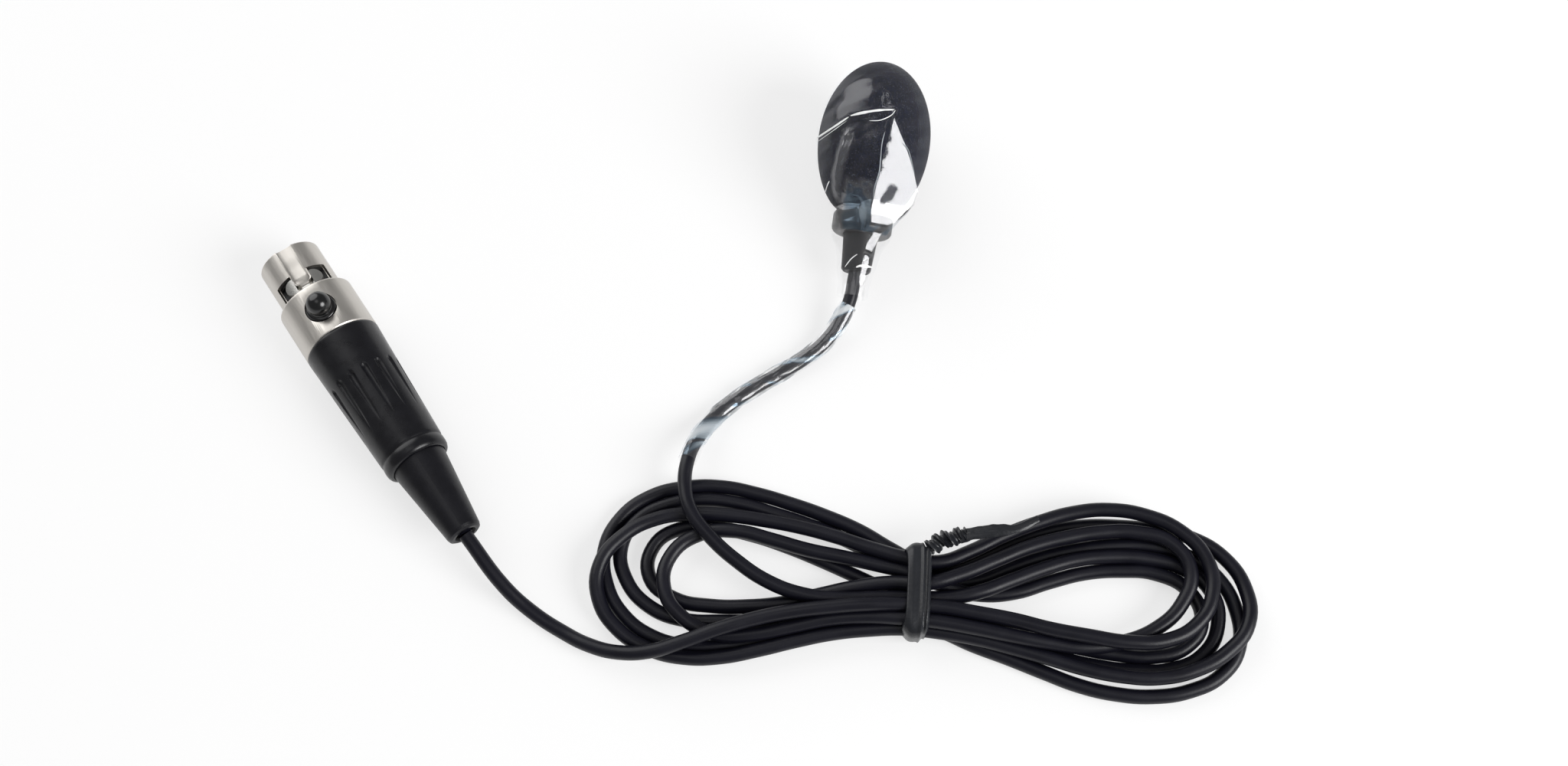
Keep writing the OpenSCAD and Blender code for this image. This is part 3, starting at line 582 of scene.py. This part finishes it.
# Its sharp creases, with painted highlights along them: points, how far they stand off, half width, and how white
# the painted highlight is
CREASES = (
    (((-7.75, -3.2, 9.35), (-5.96, -6.02, 10.07), (-3.66, -7.63, 11.71)), 0.45, 0.17, 1.0),
    (((-7.85, -2.8, 8.85), (-6.1, -5.9, 9.55), (-3.9, -7.6, 11.2)), 0.3, 0.05, 0.8),
    (((-3.51, -7.7, 11.83), (-1.91, -8.21, 12.32), (0.02, -8.37, 12.88), (2.3, -7.96, 13.45)),
     0.45, 0.19, 1.0),
    (((2.45, -7.97, 13.4), (1.9, -8.23, 12.46), (0.54, -8.46, 11.54), (-0.9, -8.4, 11.3)),
     0.35, 0.07, 0.7),
    (((1.43, -8.36, 9.96), (1.28, -8.24, 8.07), (1.43, -7.57, 4.65), (1.09, -6.75, 2.41),
      (1.04, -5.82, 1.08)), 0.3, 0.06, 0.3),
    (((3.91, -7.48, 9.16), (5.08, -6.64, 8.17), (6.4, -4.58, 5.26)), 0.25, 0.06, 0.3),
    (((-5.2, -4.6, 2.9), (-5.39, -4.17, 2.36), (-5.62, -2.72, 1.47)), 0.35, 0.09, 0.9),
    (((-0.03, -2.54, -6.77), (-0.76, -2.37, -7.57), (-1.43, -1.93, -8.8)), 0.3, 0.09, 0.8),
    (((2.11, -1.24, -8.11), (0.68, -2.34, -8.35), (0.0, -2.4, -8.7)), 0.3, 0.2, 0.9),
)
# Flat places where the film is stretched: their direction, and their corners anticlockwise
FACETS = (
    ((0.442, -0.868, -0.226),
     ((2.2, -9.5, 12.9), (1.7, -8.44, 8.5), (0.95, -7.41, 3.2), (0.75, -7.08, 0.77),
      (1.2, -5.9, -3.0), (3.9, -4.7, -2.7), (5.6, -4.7, -1.4), (7.3, -4.5, 1.0),
      (7.6, -4.7, 3.4), (6.4, -5.6, 6.0), (4.6, -7.33, 9.4), (3.2, -8.6, 11.4))),
    ((0.43, -0.845, -0.318),
     ((1.0, -3.9, -5.2), (0.3, -3.3, -6.1), (1.9, -2.6, -6.4), (2.6, -3.2, -5.0),
      (4.0, -4.2, -1.8), (1.37, -5.2, -2.2))),
)
# How far a flat place may lift the film, and how steeply that falls off outside it
MOST_LIFT, LIFT_FALL = 3.2, 1.3
# Where a flat place turns away and loses its sheen: points and half width
TURNED = (
    (((1.9, -8.6, 10.6), (1.75, -8.2, 8.0), (1.5, -7.6, 5.6), (1.2, -7.2, 4.0)), 0.55),
    (((3.7, -6.2, 2.5), (3.2, -6.1, 1.5)), 0.85),
    (((3.2, -6.1, 1.5), (2.5, -6.0, 0.7)), 0.4),
)
# Painted reflections and highlights where the film lies loose: points, half width and how white they are painted
PAINTED_REFLECTIONS = (
    (((-3.5, -7.6, 9.0), (-4.3, -6.6, 5.6), (-4.7, -5.3, 3.2), (-4.5, -4.0, 1.0)), 1.35, 0.055),
    (((-4.3, -2.6, -0.6), (-4.2, -2.2, -2.4)), 0.9, 0.055),
    (((7.4, -1.5, 14.0), (7.7, -1.8, 10.5), (7.5, -2.2, 8.0)), 0.7, 0.035),
)
# Middle of the glossy side of its tip, and how far the gloss reaches
GLOSSY, GLOSSY_REACH = Vector((-5.5, -5.5, 14.5)), 8.0
# Middle of the painted highlight at the stretched film's lower end
PAINTED_HIGHLIGHT_AT = Vector((0.4, -5.4, -0.8))
# How far the film lies off the foam and how thick it and its loose end are, in mm
FILM_OFF, FILM_THICK, TAIL_THICK = 0.2, 0.04, 0.03
FILM_STEPS, FILM_AROUND, TAIL_STEPS, TAIL_AROUND, RIB_STEPS, RIB_AROUND = 170, 200, 220, 48, 60, 8


def nearest(spot, path):
    """How far a point is from a line of points."""
    best = math.inf
    for a, b in zip(map(Vector, path), map(Vector, path[1:])):
        u = max(0.0, min(1.0, (spot - a).dot(b - a) / (b - a).length_squared))
        best = min(best, (spot - a.lerp(b, u)).length)
    return best


def film_line(steps):
    """Half section of the film as (out, along), from its tip to its rear end."""
    foam = [(out + FILM_OFF, along) for out, along in egg(0.0, 40)[3:-1]]
    foam.append((0.0, WIDEST + SCREEN_FRONT + FILM_OFF))
    rear = [(2.2, -12.6), (2.25, -11.0), (2.5, -9.2), (2.85, -7.4), (3.3, -5.6), (4.1, -4.0),
            (4.62, -2.6), (4.72, -0.6)]
    line = [Vector(p) for p in rear + foam][::-1]
    run = [0.0]
    for a, b in zip(line, line[1:]):
        run.append(run[-1] + (b - a).length)
    spots = []
    k = 0
    for i in range(steps + 1):
        want = run[-1] * i / steps
        while k < len(run) - 2 and run[k + 1] < want:
            k += 1
        spots.append(line[k].lerp(line[k + 1], (want - run[k]) / (run[k + 1] - run[k])))
    return spots


def facet_rise(spot, lean, way, corners):
    """How far a flat place lifts the film off its piece, and how far inside it the point is."""
    facing = way.dot(lean)
    if facing < 0.3:
        return 0.0, -1.0
    rise = way.dot(corners[0] - spot) / facing
    on = spot + lean * max(rise, 0.0)
    inside = min(way.cross(b - a).normalized().dot(on - a)
                 for a, b in zip(corners, corners[1:] + corners[:1]))
    lift = max(0.0, min(rise, MOST_LIFT) + LIFT_FALL * min(0.0, inside))
    return lift, inside if rise > -0.25 else -1.0


def film_point(spot, lean, facets):
    """Where a point of the film lies, how white it is painted there, and its sheen."""
    lifts = [facet_rise(spot, lean, *facet) for facet in facets]
    rise = max(lift for lift, inside in lifts)
    edge = max(inside for lift, inside in lifts)
    ripple = noise.noise(spot * 0.9 + Vector((8, 2, 4)))
    # Streaked sheen over the foam, even sheen on the flat places
    stripe = noise.noise(Vector((spot.z * 0.9 - spot.x * 0.7, (spot.x + spot.z) * 0.12, 0.5)))
    sheen = max(0.12, 0.75 * (1 - (spot - GLOSSY).length / GLOSSY_REACH) + 0.12)
    sheen = max(0.1, min(0.8, sheen * (1.4 + 2.4 * stripe)))
    if edge > -0.3:
        sheen = max(sheen, step_up(edge + 0.3 * ripple, -0.12, 0.25))
    for path, width in TURNED:
        off = nearest(spot + lean * rise, path) + 0.6 * ripple
        sheen = min(sheen, max(0.1, step_up(off, width * 0.75, width * 1.25)))
    # Soft folds, and slight waves wherever the film isn't stretched
    lift = rise
    for path, height, width in FOLDS:
        off = nearest(spot, path)
        if off < width:
            lift += height * step_up(width - off, 0, width)
            sheen = max(sheen, 0.5)
    if edge < 0:
        streak = Vector((spot.x * 0.07 - spot.z * 0.3, spot.y * 0.2, spot.x * 0.08))
        wave = noise.noise(streak + Vector((3, 1, 5)))
        lift += 0.3 * abs(wave) * max(0.0, 1 - rise * 3)
    # Painted reflection beside the lower flat place and along loose places, a painted highlight at a spot, and a
    # faint grey veil at the rear
    haze_and_painted_light = step_up(4.6 - spot.z + 1.2 * ripple, 0, 3.4)
    haze_and_painted_light *= step_up(spot.x, -4.4, -2.2) * step_up(-spot.y, 1, 3)
    haze_and_painted_light *= step_up(spot.z, -4.0, -3.4) * (0.085 + 0.02 * ripple)
    for path, width, pale in PAINTED_REFLECTIONS:
        off = nearest(spot, path) + 0.3 * ripple
        haze_and_painted_light = max(haze_and_painted_light, pale * step_up(-off, -width, -0.35 * width))
    haze_and_painted_light += 0.16 * max(0.0, 1 - (spot - PAINTED_HIGHLIGHT_AT).length / 2.0)
    haze_and_painted_light = max(haze_and_painted_light, 0.035 * step_up(-spot.z, 0, 3))
    return spot + lean * lift, (haze_and_painted_light if edge < 0.1 else 0.0), sheen


class LAV_OT_film(bpy.types.Operator):
    """Adds the clear film bag over the windscreen"""
    bl_idname = "lav.film"
    bl_label = "Film"

    def execute(self, context):
        facets = [(Vector(way).normalized(), [Vector(c) for c in corners])
                  for way, corners in FACETS]
        line = film_line(FILM_STEPS)
        rings, whites, sheens = [], [], []
        for i, (out, along) in enumerate(line):
            slope = heading(line, i)
            ring = []
            for angle in circle(FILM_AROUND):
                turn = Vector((math.cos(angle), math.sin(angle), 0))
                spot = turn * max(out, 0.02) + Vector((0, 0, along))
                lean = (turn * -slope.y + Vector((0, 0, slope.x))).normalized()
                spot, white, sheen = film_point(spot, lean, facets)
                ring.append(spot)
                whites.append(white)
                sheens.append(sheen)
            rings.append(ring)
        film = lofted("film_bag", rings, MIC, close_ends=False)
        mark_film(film, whites, sheens)
        weld(0.01)
        shape(film, "SOLIDIFY", thickness=FILM_THICK, offset=1)
        join(film, *(crease(*row) for row in CREASES))
        finish_piece(film, "film", clear_film(), 60, ["film_sleeve"])
        film_tail(film.data.materials[0])
        return {"FINISHED"}


def mark_film(piece, whites, sheens):
    """Keeps how white the film is painted and how glossy it is at each of its points: the white is a faint grey
    veil, painted highlights and painted reflections.
    """
    for name, values in (("whitening", whites), ("sheen", sheens)):
        marks = piece.data.attributes.new(name, "FLOAT", "POINT")
        marks.data.foreach_set("value", values)


def crease(path, height, width, pale):
    """A sharp crease as a slim rib that tapers to both its ends."""
    run = smooth_run(path, RIB_STEPS)
    rings = []
    for i, spot in enumerate(run):
        ahead = heading(run, i)
        out = Vector((spot.x, spot.y, max(0.0, spot.z - WIDEST) * 0.5)).normalized()
        across = ahead.cross(out).normalized()
        out = across.cross(ahead)
        share = 0.06 + 0.94 * i / RIB_STEPS
        taper = math.sin(math.pi * share) ** 0.4 if i < RIB_STEPS else 0.12
        thick = width * taper * (1 + 0.4 * noise.noise(spot * 1.1))
        rings.append([spot + out * (height + 0.7 * thick * math.sin(t))
                      + across * thick * math.cos(t)
                      for t in circle(RIB_AROUND)])
    rib = lofted("crease", rings, MIC)
    count = len(rib.data.vertices)
    # Painted highlight: the rib is painted white or bluish white along its whole length
    mark_film(rib, [pale] * count, [1.0] * count)
    return rib


def film_tail(material):
    """The bag's loose end, which trails along the cable and is crumpled round it."""
    run = smooth_run(ROUTE[1:9], TAIL_STEPS)
    rings, whites = [], []
    for i, spot in enumerate(run):
        ahead = heading(run, i)
        across = ahead.cross(Vector((0, 0, 1))).normalized()
        up = across.cross(ahead)
        ring = []
        for turn in circle(TAIL_AROUND):
            crumple = noise.noise(Vector((i * 0.06, math.cos(turn) * 0.8, math.sin(turn) * 0.8)))
            out = 1.16 + 0.14 * abs(crumple)
            # It lies on the floor, not in it
            lift = max(up.z * math.sin(turn) * out, 0.08 - spot.z)
            ring.append(spot + across * math.cos(turn) * out * 1.12 + up * lift)
            # Painted highlights: white streaks and patches over a faint grey veil
            highlight_streak = noise.noise(Vector((i * 0.035 + turn * 0.5, 3.3, turn * 0.12)))
            highlight_patch = noise.noise(Vector((i * 0.11 + turn * 1.1, 7.1, turn * 0.3)))
            whites.append(max(0.035, min(0.4, 2.4 * (highlight_streak - 0.14), 2.4 * (highlight_patch + 0.3))))
        rings.append(ring)
    tail = lofted("film_tail", rings, Matrix.Scale(MM, 4), close_ends=False)
    mark_film(tail, whites, [0.5] * len(whites))
    shape(tail, "SOLIDIFY", thickness=TAIL_THICK, offset=1)
    finish_piece(tail, "root", material, 60)


def clear_film():
    # Polypropylene film, cast and very thin: clear, and its two faces return a small share of the light where it
    # stands off what it covers;
    # its white marks are a faint grey veil and painted highlights and reflections, along its creases and in
    # patches
    material, tree, shader = surface("cast_polypropylene_film", Roughness=0.13)
    marks = add(tree, "Attribute", attribute_name="whitening").outputs["Fac"]
    sheen = add(tree, "Attribute", attribute_name="sheen").outputs["Fac"]
    share = add(tree, "Math", operation="MAXIMUM", Value=remap(tree, sheen, 0.0, 1.0, 0.0, 0.047),
                Value_001=remap(tree, marks, 0.0, 0.6, 0.0, 0.9))
    tone = add(tree, "ValToRGB", Fac=marks)
    stops = tone.color_ramp.elements
    # Colours of the painted reflections and highlights, from grey through bluish to white
    for place, colour in ((0.055, "#f4f4f6"), (0.078, "#8fa5b8"), (0.2, "#c2d0da"),
                          (0.5, "#ffffff")):
        stops.new(place).color = rgba(colour)
    stops.remove(stops[0])
    wire(shader, Alpha=share.outputs[0], Metallic=remap(tree, marks, 0.0, 0.3, 1.0, 0.0),
         Base_Color=tone.outputs[0], Normal=relief(tree, grain(tree, 0.22, 2.0), 0.012))
    return material


# ---- Head ----

class LAV_OT_head(bpy.types.Operator):
    """Finishes the collar, the strain relief and what is inside the head"""
    bl_idname = "lav.head"
    bl_label = "Head"

    def execute(self, context):
        # Brass, turned and painted: satin black with a fine grain
        cover(speckled("painted_brass_black", "#07070c", "#0c0c14", 0.35, 0.12, 0.004,
                       Specular_IOR_Level=0.35), "base_collar", "capsule_housing", "grille_cap")
        # Rubber, moulded: dull black
        cover(speckled("moulded_black_rubber", "#06060a", "#0b0b12", 0.5, 0.15, 0.008,
                       Specular_IOR_Level=0.3), "capsule_ring", "mic_strain_relief")
        # Steel wire, woven; aluminium, drawn; glass cloth in epoxy; brass, crimped
        cover(speckled("woven_steel_mesh", "#8c8c8a", "#a2a2a0", 0.4, 0.1, 0.02, Metallic=1.0),
              "grille_mesh")
        cover(speckled("drawn_aluminium_can", "#c2c2be", "#d2d2ce", 0.3, 0.2, 0.004,
                       Metallic=1.0), "electret_capsule")
        cover(speckled("glass_epoxy_board", "#14502a", "#1c6436", 0.45, 0.2, 0.01),
              "capsule_board")
        cover(speckled("crimped_brass", "#b89650", "#caa860", 0.35, 0.2, 0.005, Metallic=1.0),
              "cable_ferrule")
        cover(pvc_jacket(), "sheath_in_mic")
        return {"FINISHED"}


# ---- Tie ----

# Places across a ribbon, from edge to edge, where its thickness is set
RIBBON_ACROSS = (-1.0, -0.94, -0.5, -0.25, 0.0, 0.25, 0.5, 0.94, 1.0)
# Steps along a ribbon, round the band, and from the band's middle to its edge
RIBBON_STEPS, BAND_AROUND, BAND_HALF = 160, 96, 12


def ribbon(name, path, width, turns, thickness, core):
    """A ribbon with a wire core along a line: its width and turn are given at each point."""
    run = smooth_run(path, RIBBON_STEPS)
    widths, twists = ([v.x for v in smooth_run([(v, 0, 0) for v in row], RIBBON_STEPS)]
                      for row in (width, turns))
    rings = []
    for i, spot in enumerate(run):
        ahead = heading(run, i)
        across = Vector((0, 0, 1)).cross(ahead).normalized()
        across = Matrix.Rotation(twists[i] * math.tau, 3, ahead) @ across
        over = ahead.cross(across)
        half = widths[i] / 2 * (1 + 0.16 * noise.noise(spot * 1.1))
        ring = []
        for side in (1, -1):
            for u in RIBBON_ACROSS:
                thick = thickness / 2 * (0.4 if abs(u) == 1 else 1)
                thick += core * max(0.0, 1 - abs(u) / 0.3) ** 0.5
                curl = 0.16 * (u * u) * half
                ring.append(spot + across * u * side * half + over * (side * thick + curl))
        rings.append(ring)
    return lofted(name, rings, HANK)


def tie_band():
    """The band, laid round the hank's waist, with the ridges of its wire."""
    rings = []
    for turn in circle(BAND_AROUND):
        c, d = math.cos(turn), math.sin(turn)
        y = math.copysign(abs(c) ** 0.42, c)
        z = math.copysign(abs(d) ** 0.5, d)
        ring = []
        for side in (1, -1):
            for n in range(2 * BAND_HALF + 1):
                u = (n / BAND_HALF - 1) * side
                over = 0.14 * math.exp(-((u + 0.55) / 0.32) ** 2) - 0.06
                over += 0.26 * math.exp(-((u - 0.32) / 0.13) ** 2)
                over += 0.34 * math.exp(-((u - 0.78) / 0.14) ** 2)
                over += 0.05 * noise.noise(Vector((u * 1.4, c * 2.2, d * 2.2)))
                over += 0.14 * side * (0.3 if abs(u) == 1 else 1)
                wide = 1.6 + (0.3 - 0.2 * max(0.0, u)) * abs(y) ** 6
                long = 6.1 * (0.97 + 0.1 * math.cos(2.4 * (u + 0.05)))
                ring.append((u * wide + 0.05 - 0.18 * abs(y) ** 4,
                             -0.55 + y * long * (1 + over / 6), 3.27 + z * (2.98 + over)))
        rings.append(ring)
    return lofted("tie_band", rings + rings[:1], HANK, close_ends=False)


class LAV_OT_tie(bpy.types.Operator):
    """Adds the twist tie round the hank"""
    bl_idname = "lav.tie"
    bl_label = "Tie"

    def execute(self, context):
        # Polyethylene over a wire, extruded: satin black, a little wavy
        plastic = speckled("polyethylene_covered_wire", "#131418", "#24262b", 0.3, 0.35, 0.03,
                           Specular_IOR_Level=0.4)
        band = tie_band()
        twist = ribbon("tie_twist", ((1.0, 5.3, 5.0), (2.2, 5.9, 5.3), (3.5, 6.5, 5.6),
                                     (4.8, 6.9, 6.0), (6.2, 7.1, 6.4)),
                       (2.0, 2.5, 2.4, 2.3, 1.7), (0, 0.5, 1.0, 1.5, 2.0), 1.15, 0.25)
        tail = ribbon("tie_tail", ((5.2, 6.6, 6.2), (6.6, 7.2, 6.6), (9.7, 7.75, 6.9),
                                   (13.0, 8.3, 6.9), (15.8, 9.9, 6.8)),
                      (1.7, 1.9, 1.8, 1.2, 0.9), (0.44, 0.47, 0.5, 0.53, 0.55), 0.26, 0.16)
        join(band, twist, tail)
        weld(0.002)
        finish_piece(band, "root", plastic, 50, ["twist_tie"])
        return {"FINISHED"}


# ---- Plug ----

# The shell's radii and where its ring, its nose and its rear end, in mm
RING_R, RING_LEN, NOSE_R, NOSE_END, BORE_R, SLEEVE_END = 5.5, 8.0, 4.5, 15.7, 3.85, -6
KEYWAY_AT, KEYWAY_STEPS = RING_LEN + 1.3, 56
# Where the ball's hole is and its radius, how deep the window is cut and its length
BALL_AT, HOLE_R, WINDOW_FLOOR, WINDOW_LEN = 4, 2.25, 2.54, 3.2


def prism(name, outline, start, end):
    """A straight piece over an outline of (up, right) points, for cutting with."""
    rings = [[(x, y, z) for x, y in outline] for z in (start, end)]
    return lofted(name, rings, PLUG)


def cut(piece, cutter):
    """Cuts one piece with another, which is then gone."""
    shape(piece, "BOOLEAN", operation="DIFFERENCE", solver="EXACT", object=cutter)
    bpy.data.objects.remove(cutter)


def rounded(out, along, radius, steps):
    """An outer corner of a half section, rounded."""
    return [(out - radius + radius * math.cos(a), along - radius + radius * math.sin(a))
            for a in sweep(steps)]


def keyway():
    """The channel pressed into the nose, whose rear end dips into the window."""
    rings = []
    for i in range(KEYWAY_STEPS + 1):
        z = KEYWAY_AT + (NOSE_END - 0.1 - KEYWAY_AT) * i / KEYWAY_STEPS
        floor = 3.98 - 0.45 * (1 - step_up(z, KEYWAY_AT - 0.1, KEYWAY_AT + 1.1))
        floor += 0.05 * step_up(z, 12.0, 13.9)
        half = [(4.24, 1.32), (4.2, 1.12), (floor + 0.13, 1.02),
                (floor + 0.07, 0.8), (floor + 0.03, 0.45)]
        under = [(floor - 0.26, 0.5), (floor - 0.24, 0.92), (floor - 0.12, 1.12), (3.95, 1.32)]
        # The rear corners are round
        near = min(1.0, (z - KEYWAY_AT) / 0.6)
        slim = 1 - 0.4 * (1 - math.sqrt(near * (2 - near)))
        loop = half + [(x, -y) for x, y in half[::-1]] + [(x, -y) for x, y in under[::-1]] + under
        rings.append([(x, y * slim, z) for x, y in loop])
    return lofted("keyway", rings, PLUG)


class LAV_OT_plug(bpy.types.Operator):
    """Adds the plug's shell and finishes what is inside it"""
    bl_idname = "lav.plug"
    bl_label = "Plug"

    def execute(self, context):
        outline = [(BORE_R, SLEEVE_END), (4.6, SLEEVE_END), (4.6, 0), (RING_R - 0.16, 0),
                   (RING_R, 0.16)]
        outline += rounded(RING_R, RING_LEN, 0.4, 5) + [(NOSE_R, RING_LEN)]
        outline += rounded(NOSE_R, NOSE_END, 0.2, 4)
        outline += [(BORE_R + 0.1, NOSE_END), (BORE_R, NOSE_END - 0.1), (BORE_R, SLEEVE_END)]
        shell = turned("plug_sleeve", outline, PLUG, steps=144)
        window = [(WINDOW_FLOOR - 0.64, -3.44), (WINDOW_FLOOR, -3.71), (4, -5.2), (6, -5.2)]
        window += [(up, -right) for up, right in window[::-1]]
        cut(shell, prism("window", window, RING_LEN + 0.001, RING_LEN + WINDOW_LEN))
        slot = [(3, -1.16), (6, -1.16), (6, 1.16), (3, 1.16)]
        cut(shell, prism("slot", slot, RING_LEN + 0.002, NOSE_END + 1))
        # The ball's hole
        bpy.ops.object.select_all(action="DESELECT")
        bpy.ops.mesh.primitive_cylinder_add(vertices=96, radius=HOLE_R, depth=3,
                                            location=(RING_R, 0, BALL_AT),
                                            rotation=(0, math.pi / 2, 0))
        bpy.ops.object.transform_apply(location=True, rotation=True, scale=True)
        cut(shell, bpy.context.object)
        shape(shell, "BEVEL", width=0.05, segments=2, limit_method="ANGLE",
              angle_limit=math.radians(50))
        join(shell, keyway())
        finish_piece(shell, "root", satin_nickel(), 35, ["plug_shell"])
        shape(shell, "WEIGHTED_NORMAL", weight=100, keep_sharp=True)
        # Nylon with glass fibre, moulded; copper alloy, turned and gilt; plain nylon, moulded
        cover(speckled("glass_filled_nylon_black", "#0c0c0d", "#141415", 0.5, 0.15, 0.01),
              "plug_insert")
        cover(speckled("gold_plated_contacts", "#d8a850", "#e2b661", 0.25, 0.2, 0.003,
                       Metallic=1.0), "plug_contacts")
        cover(speckled("moulded_nylon_natural", "#d8d4c8", "#e2dfd4", 0.5, 0.3, 0.01),
              "cable_clamp")
        cover(pvc_jacket(), "sheath_in_plug")
        # PVC, extruded over the wires
        cover(speckled("extruded_wire_insulation", "#a03028", "#b23c30", 0.45, 0.1, 0.004),
              "lead_wires", "plug_conductors")
        return {"FINISHED"}


def satin_nickel():
    # Nickel over brass, turned and brushed lengthwise: soft light and dark bands
    material, tree, shader = surface("brushed_satin_nickel", Base_Color=rgba("#c9c5bf"),
                                     Metallic=1.0)
    # The plug's own millimetres, from the object's coordinates
    move, turn, scale = PLUG.inverted().decompose()
    where = add(tree, "Mapping", Vector=add(tree, "TexCoord").outputs["Object"], Location=move,
                Rotation=turn.to_euler(), Scale=scale).outputs[0]
    lines = add(tree, "Mapping", Vector=where, Scale=(9, 9, 0.35))
    brush = add(tree, "TexNoise", Vector=lines.outputs[0], Scale=1.0, Detail=3.0).outputs[0]
    wire(shader, Roughness=remap(tree, brush, 0.3, 0.7, 0.3, 0.46),
         Normal=relief(tree, brush, 0.012))
    return material


class LAV_OT_latch(bpy.types.Operator):
    """Finishes the latch and its button"""
    bl_idname = "lav.latch"
    bl_label = "Latch"

    def execute(self, context):
        # Spring steel, stamped
        cover(speckled("stamped_spring_steel", "#b9b8b4", "#c9c8c4", 0.25, 0.2, 0.004,
                       Metallic=1.0), "latch_plate")
        top, ball = RING_R + 2.8, 1.72
        outline = [(0, 3.45), (2.05, 3.45), (2.12, 3.5), (2.12, 5.0), (2.08, 5.2), (1.97, 5.36),
                   (1.8, 5.42), (1.6, 5.46), (1.46, 5.7)]
        outline += [(ball * math.cos(a), top - ball + ball * math.sin(a))
                    for a in sweep(24, start=-0.5)]
        outline[-1] = (0, top)
        place = PLUG @ Matrix.Translation((0, 0, BALL_AT)) @ Matrix.Rotation(math.pi / 2, 4, "Y")
        button = turned("latch_ball", outline, place, steps=96)
        # Acetal, moulded and polished: glossy black with small sharp highlights
        polish = speckled("polished_black_acetal", "#060608", "#0a0a0c", 0.2, 0.3, 0.0015,
                          Coat_Weight=0.15, Coat_Roughness=0.2)
        finish_piece(button, "latch", polish, 40, ["latch_button"])
        return {"FINISHED"}


# Grip flutes: their number, radius, distance out and first angle; where they start, and length
FLUTES, FLUTE_R, FLUTE_AT, FLUTE_TURN = 15, 0.52, 5.4, math.radians(8)
FLUTE_FRONT, FLUTE_LEN = -7.1, 8.2
BACKSHELL_AROUND = 480
# Half section of the backshell's outside as (out, along), with the steps to the next point
BACKSHELL = (
    (5.34, 0.0, 1), (5.47, -0.12, 1), (5.5, -0.35, 30), (5.2, -7.1, 41), (4.72, -19.3, 1),
    (4.66, -19.62, 1), (4.57, -19.75, 1), (4.6, -19.95, 1), (4.68, -20.1, 1), (4.7, -20.6, 1),
    (4.66, -21.1, 1), (4.5, -21.5, 1), (4.25, -21.7, 1), (4.0, -21.7, 1), (4.0, -19.0, 0),
)
BACKSHELL_BORE = [(4.0, -19.0), (4.2, -15), (4.7, -6.5), (4.7, 0.0), (5.34, 0.0)]


def flute_floor(turn, along):
    """How far out a grip flute's floor lies, or infinitely far where there is none."""
    depth = FLUTE_R ** 2
    if along > FLUTE_FRONT:
        depth -= (along - FLUTE_FRONT) ** 2
    elif along < FLUTE_FRONT - FLUTE_LEN:
        return math.inf
    pitch = math.tau / FLUTES
    off = (turn - FLUTE_TURN + pitch / 2) % pitch - pitch / 2
    inside = depth - (FLUTE_AT * math.sin(off)) ** 2
    return FLUTE_AT * math.cos(off) - math.sqrt(inside) if inside > 0 else math.inf


class LAV_OT_backshell(bpy.types.Operator):
    """Adds the fluted backshell and finishes the boot"""
    bl_idname = "lav.backshell"
    bl_label = "Backshell and boot"

    def execute(self, context):
        outside = []
        for (out, along, count), (out_2, along_2, _) in zip(BACKSHELL, BACKSHELL[1:]):
            outside += [(out + (out_2 - out) * i / count, along + (along_2 - along) * i / count)
                        for i in range(count)]
        rings = []
        for n, (out, along) in enumerate(outside + BACKSHELL_BORE):
            ring = []
            for turn in circle(BACKSHELL_AROUND):
                far = min(out, flute_floor(turn, along)) if n < len(outside) else out
                ring.append((far * math.cos(turn), far * math.sin(turn), along))
            rings.append(ring)
        backshell = lofted("fluted_backshell", rings, PLUG, close_ends=False)
        weld()
        # Polycarbonate, moulded and lightly polished by handling: satin black
        moulded = speckled("moulded_black_polycarbonate", "#07070b", "#0b0b12", 0.3, 0.1, 0.005,
                           Specular_IOR_Level=0.4)
        finish_piece(backshell, "root", moulded, 50, ["backshell"])
        # Soft PVC, moulded over the cable: satin black with tiny scuffs
        cover(speckled("moulded_soft_boot", "#06060b", "#0c0c14", 0.38, 0.14, 0.012,
                       Specular_IOR_Level=0.35), "plug_boot")
        return {"FINISHED"}


# ---- Panel ----

PIECES = (LAV_OT_stage, LAV_OT_cable, LAV_OT_windscreen, LAV_OT_film, LAV_OT_head, LAV_OT_tie,
          LAV_OT_plug, LAV_OT_latch, LAV_OT_backshell)


class LAV_PT_panel(bpy.types.Panel):
    """Lists the pieces of the microphone"""
    bl_idname = "LAV_PT_panel"
    bl_label = "Lavalier Microphone"
    bl_space_type = "VIEW_3D"
    bl_region_type = "UI"
    bl_category = "Lavalier"

    def draw(self, context):
        layout = self.layout
        for group in (context.scene.lav_sizes, context.scene.lav_colours):
            for name in group.__annotations__:
                layout.prop(group, name)
        for piece in PIECES:
            layout.operator(piece.bl_idname)


CLASSES = (LavSizes, LavColours, *PIECES, LAV_PT_panel)


def register():
    for item in CLASSES:
        bpy.utils.register_class(item)
    bpy.types.Scene.lav_sizes = PointerProperty(type=LavSizes)
    bpy.types.Scene.lav_colours = PointerProperty(type=LavColours)


def unregister():
    del bpy.types.Scene.lav_colours
    del bpy.types.Scene.lav_sizes
    for item in reversed(CLASSES):
        bpy.utils.unregister_class(item)


def main():
    register()
    for piece in PIECES:
        group, name = piece.bl_idname.split(".")
        getattr(getattr(bpy.ops, group), name)()


if __name__ == "__main__":
    main()
